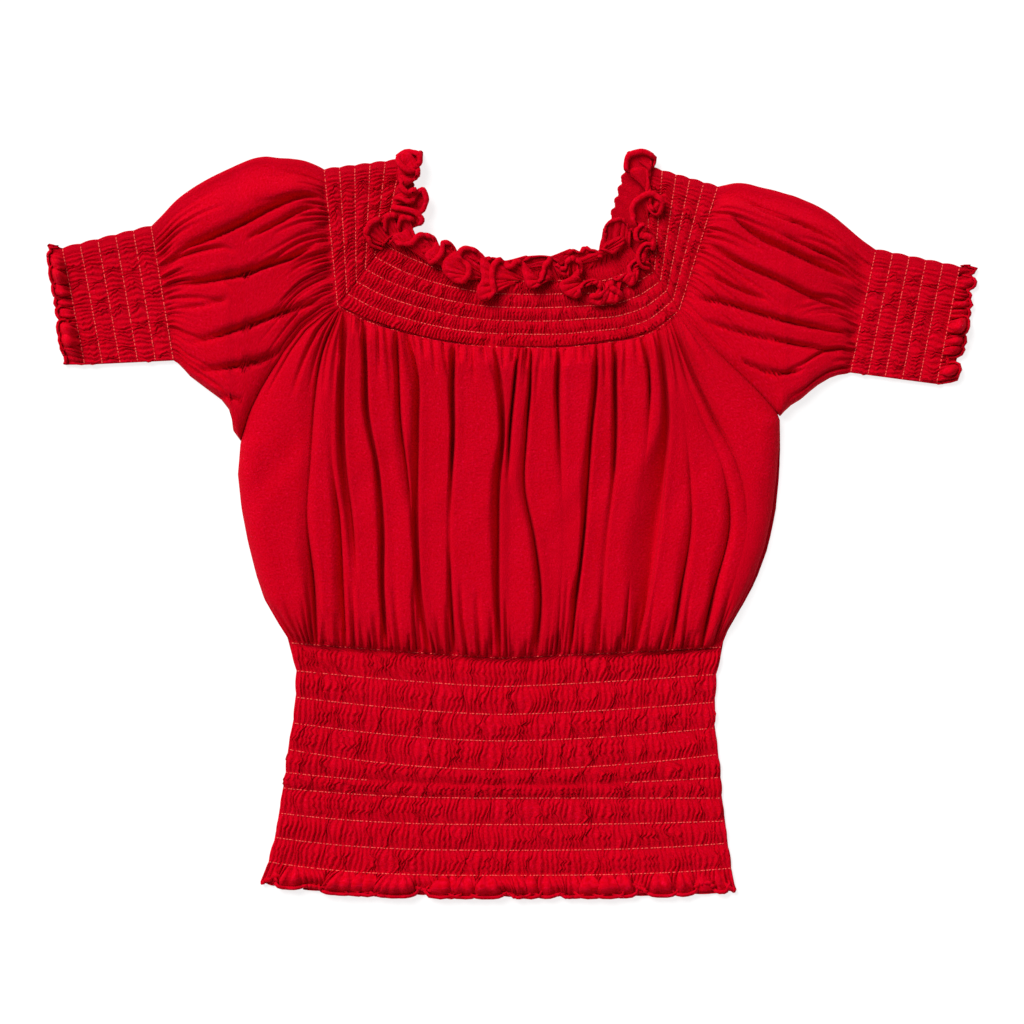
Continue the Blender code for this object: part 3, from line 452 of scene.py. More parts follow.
# ---- thread ----
THREAD_LIFT = 0.15  # height of a stitch over the cloth
THREAD_END = 1.45  # turn of a sleeve where its thread ends
SLEEVE_THREAD_SEED = 20
FIRST_STITCH = 0.2  # of a pitch from the end of a row
STITCH_UNEVEN = 0.25  # in place and length
BROKEN_ROW = 11  # the thread of this row is broken in the middle
BROKEN_SPANS = ((0.0, 0.19), (0.78, 1.0))
STITCH_SHAPE = (
    (0.0, 0, 0), (0.25, 1, 0), (0.25, 0, 1), (0.25, -1, 0),
    (0.75, 1, 0), (0.75, 0, 1), (0.75, -1, 0), (1.0, 0, 0),
)
STITCH_FACES = (
    (0, 1, 2), (0, 2, 3), (0, 3, 1), (1, 4, 5, 2), (2, 5, 6, 3), (3, 6, 4, 1), (7, 5, 4), (7, 6, 5), (7, 4, 6),
)

# ---- cloth: scale and detail of each noise on the cut, and how much each lightens and raises the cloth ----
SPECKLE = (820.0, 2.0)
LINT = (560.0, 0.0)
CLOUDY = (40.0, 3.0)
CRUMPLE = (260.0, 3.0)
WRINKLE = (1.0, 2.0)
WRINKLE_STRETCH = (620.0, 190.0, 1.0)
LINT_FROM, LINT_TO = 0.72, 0.80  # only the highest specks of its noise are lint
# the lightening by the specks is partly a painted glint of threads that catch the light, and partly the cloth's
# own random tone
SPECKLE_LIGHT, CLOUDY_LIGHT, LIGHT = 1.9, 0.35, 0.3
WEAVE_RELIEF, SPECKLE_RELIEF, CRUMPLE_RELIEF, WRINKLE_RELIEF = 0.0001, 0.0006, 0.0009, 0.0013
RELIEF_STRENGTH = 0.7
CLOTH_FINISH = {
    "Roughness": 0.95,
    "Specular IOR Level": 0.1,
    "Specular Tint": (1.0, 0.02, 0.08, 1.0),
    "Sheen Weight": 0.03,
    "Sheen Roughness": 0.5,
    "Sheen Tint": (1.0, 0.12, 0.2, 1.0),
}
THREAD_FINISH = {"Roughness": 0.7, "Specular IOR Level": 0.1}

# ---- stage ----
FLOOR_SIZE = 12.0
FLOOR_Z = -0.0003
FLOOR_FINISH = {
    "Roughness": 0.9,
    "Specular IOR Level": 0.0,
    "Emission Color": (1.0, 1.0, 1.0, 1.0),
    "Emission Strength": 0.78,  # a floor of lit white glass shows hardly any shadow
}
SUN_PLACE = (-0.85, 1.1, 1.35)
SUN_STRENGTH = 3.55
SUN_SPREAD = 0.6  # width of the sun in radians, which softens its shadows
SKY_STRENGTH = 0.32
CAMERA_PLACE = (0.0007, 0.008, 2.389)
LENS = 120.0
SENSOR = 36.0

# ---- seeds of the random draws ----
SEEDS = {
    "sway": 41,
    "undulation": 42,
    "top gathers": 61,
    "bottom gathers": 62,
    "back sway": 71,
    "back furrows": 72,
    "yoke": 101,
    "waist": 202,
    "folds": 300,
    "back yoke": 303,
    "back waist": 404,
}


# ---------------------------------------------------------------- curves and shapes


def curve(knots, values, at):
    """The smooth curve through the values at the knots, read at each number."""
    knots = np.asarray(knots, float)
    values = np.asarray(values, float)
    slopes = np.gradient(values, knots)
    i = np.clip(np.searchsorted(knots, at, side="right") - 1, 0, len(knots) - 2)
    step = knots[i + 1] - knots[i]
    t = np.clip((at - knots[i]) / step, 0.0, 1.0)
    start = (1 + 2 * t) * (1 - t) ** 2 * values[i] + t * (1 - t) ** 2 * step * slopes[i]
    end = t**2 * (3 - 2 * t) * values[i + 1] - t**2 * (1 - t) * step * slopes[i + 1]
    return start + end


def line_at(points, x):
    """The y of a line given as x and y points."""
    knots, values = zip(*points)
    return curve(knots, values, x)


def blend(a, b, t):
    return a + (b - a) * t


def ease(t):
    """0 to 1 with level ends."""
    t = np.clip(t, 0.0, 1.0)
    return t * t * (3 - 2 * t)


def rounded(t):
    """0 to 1 as a quarter of a circle: steep at first, then level."""
    t = np.clip(t, 0.0, 1.0)
    return np.sqrt(t * (2 - t))


def level_off(t):
    """0 to 1 as a quarter of a wave."""
    return np.sin(0.5 * np.pi * np.clip(t, 0.0, 1.0))


def drift(at, seed, line=0, lines=1):
    """Smooth random numbers between -1 and 1, a new one at each whole number, on one of several lines."""
    at = np.asarray(at, float)
    low = int(np.floor(at.min())) - 1
    draws = np.random.default_rng(seed).uniform(-1, 1, (lines, int(at.max()) - low + 4))
    i = np.floor(at).astype(int)
    t = ease(at - i)
    line = np.broadcast_to(line, at.shape)
    return blend(draws[line, i - low], draws[line, i - low + 1], t)


# ---------------------------------------------------------------- plan of the front and back


def side_x(share, side):
    """The x of a side of the bodice at a share of its length."""
    shares = [row.share for row in SIDES]
    return np.interp(share, shares, [getattr(row, side) for row in SIDES])


def side_y(share, side):
    first = dict(right=LAST_ROW[0], left=LAST_ROW[-1])[side][1]
    return blend(first, getattr(WAIST[0], side + "_y"), share)


def fold_x(fold, share):
    return curve(FOLD_SHARES, fold.x, share)


def bodice_columns():
    """How many columns of the bodice lie up to each fold, so that a column lies along each."""
    lines = np.array([fold.x for fold in FOLDS])
    right = side_x(np.array(FOLD_SHARES), "right")
    left = side_x(np.array(FOLD_SHARES), "left")
    gaps = np.diff(np.vstack([right, lines, left]), axis=0).max(axis=1)
    return np.concatenate([[0], np.cumsum(np.maximum(LEAST_COLUMNS, np.round(gaps / BODICE_STEP)))])


def bodice_x(column, share):
    """The x of a column of the bodice. Columns crowd beside the folds in the middle of the way down."""
    knots = bodice_columns()
    between = np.clip(np.searchsorted(knots, column, side="right") - 1, 0, len(knots) - 2)
    part = (column - knots[between]) / (knots[between + 1] - knots[between])
    crowded = blend(part, ease(part), CROWD)
    middle = ease(share / CROWD_RUN) * ease((1 - share) / CROWD_RUN)
    part = blend(part, crowded, middle)
    x = np.empty_like(part)
    for one in np.unique(share):
        here = share == one
        places = [side_x(one, "right"), *(float(fold_x(fold, one)) for fold in FOLDS), side_x(one, "left")]
        places = np.array(places)
        i = between[here]
        x[here] = blend(places[i], places[i + 1], part[here])
    return x


def waist_row(number, x):
    """The y of a row of the waist."""
    row = WAIST[number]
    bend = BEND_FIRST + BEND_STEP * number
    to_right = np.clip((WAIST_MIDDLE - x) / (WAIST_MIDDLE - row.right_x), 0, BEYOND_SIDE) ** bend
    to_left = np.clip((x - WAIST_MIDDLE) / (row.left_x - WAIST_MIDDLE), 0, BEYOND_SIDE) ** bend
    return row.middle_y + (row.right_y - row.middle_y) * to_right + (row.left_y - row.middle_y) * to_left


def waist_plan(across, down):
    """x and y on the waist. Its sides bulge a little between two rows."""
    numbers = np.arange(len(WAIST))
    place = down - LOWER_FIRST
    bulge = SCALLOP * np.abs(np.sin(np.pi * place)) * (down < WAIST_LAST)
    right = np.interp(place, numbers, [row.right_x for row in WAIST]) - bulge
    left = np.interp(place, numbers, [row.left_x for row in WAIST]) + bulge
    x = blend(right, left, across)
    lower = np.clip(np.floor(place).astype(int), 0, len(WAIST) - 2)
    y = np.empty_like(x)
    for number in np.unique(lower):
        here = lower == number
        y[here] = blend(waist_row(number, x[here]), waist_row(number + 1, x[here]), place[here] - number)
    return x, y


def neck_plan(across, down, row_line):
    """x and y on the yoke, between its first row, which is given, and its last."""
    first = blend(row_line[0][0], row_line[-1][0], across)
    last = blend(LAST_ROW[0][0], LAST_ROW[-1][0], across)
    part = np.clip(down / NECK_LAST, 0, 1)
    return blend(first, last, part), blend(line_at(row_line, first), line_at(LAST_ROW, last), part)


def bodice_plan(column, down):
    """x and y on the bodice, and the share of the way down it."""
    share = np.clip(down - NECK_LAST, 0, 1)
    x = bodice_x(column, share)
    top = line_at(LAST_ROW, bodice_x(column, np.zeros_like(share)))
    bottom = waist_row(0, bodice_x(column, np.ones_like(share)))
    return x, blend(top, bottom, share), share


def raglan_height(share, underarm):
    """Height of the cloth along a raglan seam."""
    arch = np.sin(np.pi * np.clip(share / underarm, 0, 1)) ** RAGLAN_CURVE
    return FLAT_TOP + (RAGLAN_TOP - FLAT_TOP) * arch


# ---------------------------------------------------------------- relief


def fold_depth(x, share):
    """How far the folds take the front down, and how far their lips take it up."""
    depth = np.zeros_like(x)
    lip = np.zeros_like(x)
    for number, fold in enumerate(FOLDS):
        waver = drift(FOLD_WAVERS * share, SEEDS["folds"] + number)
        deep = np.clip(curve(FOLD_SHARES, fold.depth, share) * (1 + WAVER_DEPTH * waver), 0, None)
        before = curve(FOLD_SHARES, fold.before, share) if np.ndim(fold.before) else fold.before
        before = before * (1 - WAVER_WIDTH * waver)
        off = x - fold_x(fold, share)
        beyond = np.where(off > 0, off / fold.after, np.clip(-off - fold.floor, 0, None) / before)
        slit = SLIT * ease(deep / SLIT_FULL) * np.clip(1 - np.abs(off) / SLIT_WIDTH, 0, 1)
        depth = np.maximum(depth, FOLD_DEPTH * deep * np.clip(1 - beyond, 0, 1) ** FOLD_CURVE + slit)
        rise = np.exp(-(((off - fold.after - LIP_WIDTH / 2) / LIP_WIDTH) ** 2)) * (off > 0)
        lip = np.maximum(lip, LIP * ease(deep / LIP_FULL) * rise)
    return depth, lip * (depth == 0)


def gathers(x, away, count, seed, columns, across_at):
    """Depth of the short folds that leave a row. Away is the distance from the row in mm, and across_at
    gives the x of a column at those places."""
    rng = np.random.default_rng(seed)
    depth = np.zeros_like(x)
    for number in range(count):
        at = (number + 0.5 + GATHER_SCATTER * rng.uniform(-1, 1)) / count * columns
        length = GATHER_LENGTH[0] + GATHER_LENGTH[1] * rng.uniform() ** 2
        deep = GATHER_DEPTH[0] + GATHER_DEPTH[1] * rng.uniform()
        wide = GATHER_WIDTH[0] + GATHER_WIDTH[1] * rng.uniform()
        lean = GATHER_LEAN * rng.uniform(-1, 1)
        near = away < length
        off = x[near] - across_at(at, near) - lean * away[near] / length
        fade = ease(away[near] / GATHER_START) * (1 - away[near] / length) ** GATHER_TAPER
        here = deep * fade * np.clip(1 - np.abs(off) / wide, 0, 1) ** GATHER_CURVE
        depth[near] = np.maximum(depth[near], here)
    return depth


def shirring(rib, place, bands, seed):
    """Height and sideways shift of the gathers between rows. Place counts bands from the first row."""
    band = np.clip(np.floor(place), 0, bands - 1).astype(int)
    part = np.clip(place - band, 0, 1)

    def uneven(ribs, number):
        return drift(rib / ribs, seed + number, band, bands)

    level = np.sin(np.pi * part)
    tall = blend(RIB_FLOOR, 1.0, 0.5 + 0.5 * blend(uneven(1.0, 0), uneven(1.0, 5), ease(part)))
    crest = np.abs(np.cos(np.pi * (rib + SPACING[0] * uneven(SPACING[1], 4)))) ** CREST
    height = tall * crest * blend(PINCH, 1.0, level**PINCH_CURVE)
    kink = np.clip(1 - np.abs(part - 0.5 - KINK_PLACE[0] * uneven(KINK_PLACE[1], 1)) / KINK_REACH, 0, 1)
    shift = KINK * (uneven(KINK_RIBS, 2) + SMALL_KINK[0] * uneven(SMALL_KINK[1], 6)) * kink
    zigzag = np.array(ZIGZAGS)[band % len(ZIGZAGS), np.round(BAND_STEPS * part).astype(int)]
    wobble = SNAKE[0] * uneven(SNAKE[1], 3) * np.sin(2 * np.pi * part) + uneven(ZIGZAG_RIBS, 7) * zigzag
    return height, (shift + UNEVEN * wobble) * np.minimum(1, SHIFT_GAIN * level), level


def rib_height():
    return bpy.context.scene.blouse_sizes.rib / MM


def thickness():
    return bpy.context.scene.blouse_sizes.thickness / MM


def ribs_beside(rib, away):
    """Height of the ribs that run from a row into the loose cloth, and how far the thread pulls it down."""
    crest = np.abs(np.cos(np.pi * rib)) ** SOFT_CREST
    height = rib_height() * crest * blend(PINCH, 1.0, ease(away / PINCH_RUN)) * np.exp(-away / GATHER_FADE)
    return height, ROW_DIP * np.exp(-away / DIP_RUN)


def fade_at_sides(across, width):
    """0 at the sides and 1 from a width inwards, as shares of the whole."""
    return rounded(across / width) * rounded((1 - across) / width)


def shirred_height(place, bands, seed, across, share=1.0):
    """Outer height of the shirred front and the sideways shift of its cloth. Share is how high its ribs are."""
    height, shift, level = shirring(across * FRONT_RIBS, place, bands, seed)
    side = fade_at_sides(across, SIDE_FADE)
    base = FLAT_TOP - ROW_DIP * (1 - level) * side
    edge = EDGE_TOP + (base - EDGE_TOP) * side
    return edge + share * rib_height() * height * side, shift * fade_at_sides(across, SHIFT_FADE)


def yoke_front(across, down):
    x, y = neck_plan(across, down, FRONT_ROW)
    z, shift = shirred_height(down, NECK_LAST, SEEDS["yoke"], across, YOKE_RIB)
    return x + YOKE_SHIFT * shift, y, z


def waist_front(across, down):
    x, y = waist_plan(across, down)
    z, shift = shirred_height(down - LOWER_FIRST, WAIST_LAST - LOWER_FIRST, SEEDS["waist"], across)
    return x + shift, y, z


def bodice_front(column, down):
    """x, y and z on the loose part of the front."""
    x, y, share = bodice_plan(column, down)
    columns = bodice_columns()[-1]
    swell = rounded(share / TOP_SWELL) * rounded((1 - share) / BOTTOM_SWELL)
    depth, lip = fold_depth(x, share)
    height = FLAT_TOP + (BODICE_TOP - FLAT_TOP) * swell
    height = height - depth * np.minimum(1, SWELL_GAIN * swell) + lip * swell
    waves = drift(x / UNDULATION_WIDTH + 2 * drift(share * 3, SEEDS["sway"]), SEEDS["undulation"]) * ease(swell)
    height = height + UNDULATION * waves

    def across_at(at, near):
        return bodice_x(np.full(near.sum(), at), share[near])

    for row, name, away, right, left in (
        (0.0, "top gathers", share * BODICE_RUN, LAST_ROW[0][0], LAST_ROW[-1][0]),
        (1.0, "bottom gathers", (1 - share) * BODICE_RUN, WAIST[0].right_x, WAIST[0].left_x),
    ):
        short = gathers(x, away, GATHERS, SEEDS[name], columns, across_at)
        at_row = bodice_x(column, np.full_like(share, row))
        rib, dip = ribs_beside((at_row - right) / (left - right) * FRONT_RIBS, away)
        height = height - short + rib - dip
    for side, underarm in (("right", RIGHT_UNDERARM), ("left", LEFT_UNDERARM)):
        distance = np.abs(x - side_x(share, side))
        open_side = ease((share - underarm) / OPEN_SIDE)
        seam = blend(raglan_height(share, underarm), EDGE_TOP, open_side)
        reach = np.where(share < underarm, RAGLAN_ROUND, SIDE_ROUND)
        height = blend(seam, height, rounded(distance / reach))
    return x, y, np.maximum(height, EDGE_TOP)


def unit(vectors):
    return vectors / np.maximum(np.linalg.norm(vectors, axis=-1, keepdims=True), 1e-9)


def loop_edge(loops, shares):
    """The edge of a frill through its points."""
    places = np.array(loops, float)
    knots = np.linspace(0, 1, len(loops))
    return np.stack([curve(knots, places[:, i], shares) for i in range(3)], axis=1)


def rolled(rows, edge, radius, low):
    """The rows of a frill, with its edge rolled back over its upper side."""
    onward = unit(rows[-1] - rows[-2])
    side = unit(np.cross(np.gradient(edge, axis=0), onward))
    side = side * np.sign(side[: len(side) // 3, 2].mean())
    middle = rows[-1] + side * radius
    for angle in LIP_TURN:
        rows.append(middle - side * radius * np.cos(angle) + onward * radius * np.sin(angle))
    points = np.array(rows)
    points[:, :, 2] = np.maximum(points[:, :, 2], low)
    return points


def pleats(ribs, shares):
    """The gathers that run from a row of thread into its frill."""
    tall = FRILL_GATHER * (1 - FRILL_UNEVEN + FRILL_UNEVEN * drift(ribs * shares, ribs))
    return tall * (2 * np.abs(np.cos(np.pi * ribs * shares)) - 1)


def wave_points(base, edge, waves, shares, low, ribs):
    """Points of an evenly gathered frill: each wave swells up and out, with a slit beside the next."""
    phase = waves.count * shares + WAVE_SHIFT * drift(waves.count * shares * WAVE_DRIFT, waves.seed)
    size = 1 + WAVE_GROWTH * drift(phase * WAVE_DRIFT, waves.seed + 1)
    size = size * np.clip(WAVE_ENDS * np.minimum(shares, 1 - shares), 0, 1)
    lobe = (0.5 - 0.5 * np.cos(2 * np.pi * phase)) ** WAVE_CURVE
    aside = WALL * np.sin(4 * np.pi * phase) - waves.bulge * np.sin(2 * np.pi * phase)
    upper = base[shares <= 1]
    step = (upper[-1] - upper[0]) / waves.count
    gather = pleats(ribs, shares)
    out = edge - base
    out[:, 2] = 0
    rows = []
    for part in np.linspace(0, 1, FRILL_ROWS)[1:]:
        further = (waves.reach * part * out) + unit(out) * (waves.out * (lobe - 0.5) * part)[:, None]
        place = base + further + (aside * size * part**LEAN_CURVE)[:, None] * step
        place[:, 2] = blend(base[:, 2], low + waves.floor, part) + gather * (1 - WAVE_GATHER_LOSS * part)
        place[:, 2] += waves.rise * size * lobe * np.sin(WAVE_DROOP * np.pi * part)
        rows.append(place)
    return rolled(rows, rows[-1], waves.lip, low)


def frill_points(base, edge, low, ribs):
    """Points of a frill, by row from its thread to its edge. The gathers of the row run into it."""
    gather = pleats(ribs, np.linspace(0, 1, len(base)))
    away = edge - base
    slack = np.sqrt(np.clip(FRILL_LENGTH**2 - (away**2).sum(axis=1), 0, None))
    rows = []
    for part in np.linspace(0, 1, FRILL_ROWS)[1:]:
        place = base + away * part
        place[:, 2] += FRILL_SLACK * slack * np.sin(np.pi * part) + gather * (1 - FRILL_GATHER_LOSS * part)
        rows.append(place)
    return rolled(rows, edge, LIP_RADIUS, low)


# ---------------------------------------------------------------- sleeves


def sleeve_rings(sleeve):
    """Places down a sleeve, the ends of the line round it at each, the lower ends of its back layer, and the
    share of the raglan seam at the places that lie on it."""
    stations = [row.share for row in SIDES if row.share <= sleeve.share]
    lower = [
        Ring(side_x(s, sleeve.side), side_y(s, sleeve.side), *top) for s, top in zip(stations, sleeve.tops)
    ]
    loose = lower[1:] + list(sleeve.underarm)
    between = NECK_LAST + np.arange(1, len(loose) + 1) / (len(loose) + 1)
    rings = [sleeve.edge, sleeve.row, lower[0], *loose, sleeve.cuff, sleeve.cuff_end, sleeve.cuff_edge]
    down = [-1, 0, NECK_LAST, *between, LOWER_FIRST, CUFF_LAST, CUFF_LAST + 1]
    back = [sleeve.back_edge, sleeve.back_row] + [(ring.low_x, ring.low_y) for ring in rings[2:]]
    seam = dict(zip(down[2:], stations))
    return np.array(down, float), np.array(rings, float), np.array(back, float), seam


def sleeve_edge_height(down):
    """Height of the fold along a sleeve's top."""
    knots = (-1, 0, NECK_LAST, LOOSE_FROM, LOOSE_TO, LOWER_FIRST, CUFF_LAST, CUFF_LAST + 1)
    return np.interp(down, knots, (SHIRRED_EDGE,) * 3 + (SLEEVE_EDGE,) * 2 + (SHIRRED_EDGE,) * 3)


def crease_depth(x, y, creases):
    """How far the creases of a sleeve take it down. The side of each that faces the hem is the wide one."""
    depth = np.zeros_like(x)
    for crease in creases:
        along = np.clip((x - crease.x[0]) / (crease.x[-1] - crease.x[0]), 0, 1)
        here = CREASE_DEPTH * crease.depth * np.clip(CREASE_ENDS * along * (1 - along), 0, 1) ** 0.5
        off = y - curve(crease.x, crease.y, x)
        beyond = np.where(off > 0, off / crease.above, -off / (CREASE_NARROW * crease.below))
        wide = 0.5 * np.clip(1 - beyond, 0, 1) ** WIDE_CURVE
        inner = 0.5 * np.clip(1 - INNER_NARROW * beyond, 0, 1) ** INNER_CURVE
        depth = np.maximum(depth, here * (wide + inner))
    return depth


def sleeve_height(x, y, up, down, length, seam, sleeve):
    """Outer height of a sleeve's front layer where it is loose."""
    part = np.clip(down - NECK_LAST, 0, 1)
    swell = level_off(part / SLEEVE_SWELL) * level_off((1 - part) / CUFF_SWELL)
    depth = crease_depth(x, y, sleeve.creases)
    height = FLAT_TOP + (SLEEVE_TOP - FLAT_TOP - depth) * swell
    slant, width, sway, sway_width = SLEEVE_UNDULATION
    waves = drift((y + slant * x) / width + sway * drift(x / sway_width, sleeve.seed), sleeve.seed + 1)
    height = height + UNDULATION * waves * ease(swell)
    flat = up * length

    def across_at(at, near):
        return at / SLEEVE_RIBS * length[near]

    for seed, away in ((sleeve.seed + 2, part * SLEEVE_RUN), (sleeve.seed + 3, (1 - part) * SLEEVE_RUN)):
        height = height - gathers(flat, away, SLEEVE_GATHERS, seed, SLEEVE_RIBS, across_at)
        rib, dip = ribs_beside(up * SLEEVE_RIBS, away)
        height = height + SLEEVE_RIB * rib - dip
    share = np.interp(down, list(seam), list(seam.values()))
    open_side = ease((down - max(seam)) / OPEN_SIDE)
    lower_edge = blend(raglan_height(share, sleeve.share), EDGE_TOP, open_side)
    reach = np.where(down <= max(seam), RAGLAN_ROUND, SIDE_ROUND)
    return blend(lower_edge, height, rounded(up * length / reach))


def sleeve_surface(turn, down, sleeve, inset):
    """x, y and z on a sleeve. Turn runs 0 to 1 up the front layer, to 2 round the top fold, and to 3 down
    the back layer. Inset is 0 on the outer face and the cloth's thickness on the inner one."""
    knots, rings, back, seam = sleeve_rings(sleeve)
    inward = ease(np.where(turn > 2, 3 - turn, np.minimum(turn, 1)) / SMOOTH_WITHIN)
    inward = inward * (down > NECK_LAST) * (down < LOWER_FIRST)
    low_x, low_y, top_x, top_y = (
        blend(np.interp(down, knots, rings[:, i]), curve(knots, rings[:, i], down), inward) for i in range(4)
    )
    shirred = ((down > 0) & (down < NECK_LAST)) | ((down > LOWER_FIRST) & (down < CUFF_LAST))
    top_y = top_y + SCALLOP * shirred * np.abs(np.sin(np.pi * down))
    back_x, back_y = (np.interp(down, knots, back[:, i]) for i in range(2))
    length = np.hypot(top_x - low_x, top_y - low_y)
    fold = FOLD_ROUND / length

    up = np.clip(turn, 0, 1)
    height = np.full_like(up, FLAT_TOP)
    ridge = np.zeros_like(up)
    shift = np.zeros_like(up)
    loose = (down >= NECK_LAST) & (down <= LOWER_FIRST)
    if loose.any():
        plan_x = blend(low_x, top_x, up * (1 - fold))[loose]
        plan_y = blend(low_y, top_y, up * (1 - fold))[loose]
        height[loose] = sleeve_height(plan_x, plan_y, up[loose], down[loose], length[loose], seam, sleeve)
    for first, last, seed in ((0, NECK_LAST, 4), (LOWER_FIRST, CUFF_LAST, 8)):
        here = (down >= first) & (down <= last) & ~loose
        if here.any():
            rib = up[here] * SLEEVE_RIBS + FOLD_RIBS * np.clip(turn[here] - 1, 0, 1)
            lift, slide, level = shirring(rib, down[here] - first, last - first, sleeve.seed + seed)
            side = rounded(up[here] / SLEEVE_SIDE_FADE)
            height[here] = FLAT_TOP - ROW_DIP * (1 - level) * side
            tall = YOKE_RIB if first == 0 else CUFF_RIB
            ridge[here] = tall * rib_height() * lift * side * (inset == 0)
            shift[here] = SLEEVE_SHIFT * slide * rounded(up[here] / SLEEVE_SHIFT_FADE)
    beside_fold = ease((up - FOLD_START) / (1 - FOLD_START))
    edge = sleeve_edge_height(down)
    height = np.maximum(blend(height, edge, beside_fold), EDGE_TOP) + ridge * (1 - RIDGE_LOSS * beside_fold)
    angle = np.pi / 2 - np.pi * np.clip(turn - 1, 0, 1)
    round_fold = BEND_RIDGE * ridge * np.clip(BEND_RIDGE_TO - turn, 0, 1)
    bend_z = edge / 2 + (edge / 2 - inset + round_fold) * np.sin(angle)
    bend_up = 1 - fold + (fold + (0.5 * round_fold - inset) / length) * np.cos(angle)
    down_back = (1 - fold) * (3 - np.clip(turn, 2, 3))

    front_share = np.where(turn <= 1, up * (1 - fold), bend_up) + shift * (1 - beside_fold) / length
    bow = sleeve.bow * np.clip(-down, 0, 1) * np.sin(np.pi * np.clip(front_share, 0, 1))
    rear = turn > 2
    x = np.where(rear, blend(back_x, top_x, down_back), blend(low_x, top_x, front_share) + bow)
    y = np.where(rear, blend(back_y, top_y, down_back), blend(low_y, top_y, front_share))
    z = np.where(turn <= 1, height - inset, np.where(rear, inset, bend_z))
    return x, y, z


# ---------------------------------------------------------------- shells of cloth

Face = namedtuple("Face", "points down across")  # one face of a zone: places in mm, by rows and columns
Zone = namedtuple("Zone", "outer inner")


def laid_out(surface, rows, columns):
    """The face that a surface makes on those rows and columns."""
    down, across = np.meshgrid(rows, columns, indexing="ij")
    places = surface(across.ravel(), down.ravel())
    points = np.stack(places, axis=1).reshape(len(rows), len(columns), 3)
    return Face(points, np.asarray(rows, float), np.asarray(columns, float))


def row_of(surface, down, columns):
    """The points of one row of a surface."""
    return laid_out(surface, [down], columns).points[0]


def sparse(count, step):
    """Indices from first to last, a few apart."""
    return np.unique(np.round(np.linspace(0, count - 1, max(2, (count - 1) // step + 1))).astype(int))


def lining(face, low):
    """The inner face under an outer one, plainer and clear of its furrows."""
    z = face.points[:, :, 2]
    around = np.pad(z, LINING_STEP + 1, mode="edge")
    span = 2 * LINING_STEP + 3
    deepest = z.copy()
    for i in range(span):
        for j in range(span):
            deepest = np.minimum(deepest, around[i : i + z.shape[0], j : j + z.shape[1]])
    rows, columns = (sparse(count, LINING_STEP) for count in z.shape)
    keep = np.ix_(rows, columns)
    points = face.points[keep].copy()
    points[:, :, 2] = np.maximum(deepest[keep] - thickness(), low)
    return Face(points, face.down[rows], face.across[columns])


def behind(face):
    """The face that lies the cloth's thickness behind another. Its first columns face up."""
    normal = unit(np.cross(np.gradient(face.points, axis=1), np.gradient(face.points, axis=0)))
    if normal[:, : normal.shape[1] // 3, 2].mean() < 0:
        normal = -normal
    points = face.points - normal * thickness()
    points[:, :, 2] = np.maximum(points[:, :, 2], 0)
    return Face(points, face.down, face.across)


def add_grid(bm, face):
    """Adds a flat grid of that many rows and columns to bm, laid on the face's points."""
    rows, columns = face.points.shape[:2]
    bpy.ops.mesh.primitive_grid_add(x_subdivisions=columns - 1, y_subdivisions=rows - 1, size=1.0)
    flat = bpy.context.object
    mesh = flat.data
    places = np.empty(len(mesh.vertices) * 3)
    mesh.vertices.foreach_get("co", places)
    places = places.reshape(-1, 3)
    order = np.lexsort((places[:, 0], np.round(places[:, 1], 6)))
    places[order] = face.points.reshape(-1, 3) * MM
    mesh.vertices.foreach_set("co", places.ravel())
    start = len(bm.verts)
    bm.from_mesh(mesh)
    bm.verts.ensure_lookup_table()
    bpy.data.objects.remove(flat, do_unlink=True)
    bpy.data.meshes.remove(mesh)
    numbers = start + order.reshape(rows, columns)
    return [[bm.verts[n] for n in row] for row in numbers], numbers


def lace(bm, first, first_at, second, second_at):
    """Joins two chains of vertices with triangles, in step with where each vertex lies."""
    i = j = 0
    while i < len(first) - 1 or j < len(second) - 1:
        step_first = j == len(second) - 1 or (i < len(first) - 1 and first_at[i + 1] <= second_at[j + 1])
        if step_first:
            bm.faces.new((first[i], first[i + 1], second[j]))
            i += 1
        else:
            bm.faces.new((first[i], second[j + 1], second[j]))
            j += 1


def new_piece(name, bm, mesh):
    """The object of a finished mesh, with its faces turned outwards."""
    bmesh.ops.recalc_face_normals(bm, faces=bm.faces)
    bm.to_mesh(mesh)
    bm.free()
    mesh.shade_smooth()
    piece = bpy.data.objects.new(name, mesh)
    bpy.context.scene.collection.objects.link(piece)
    return piece


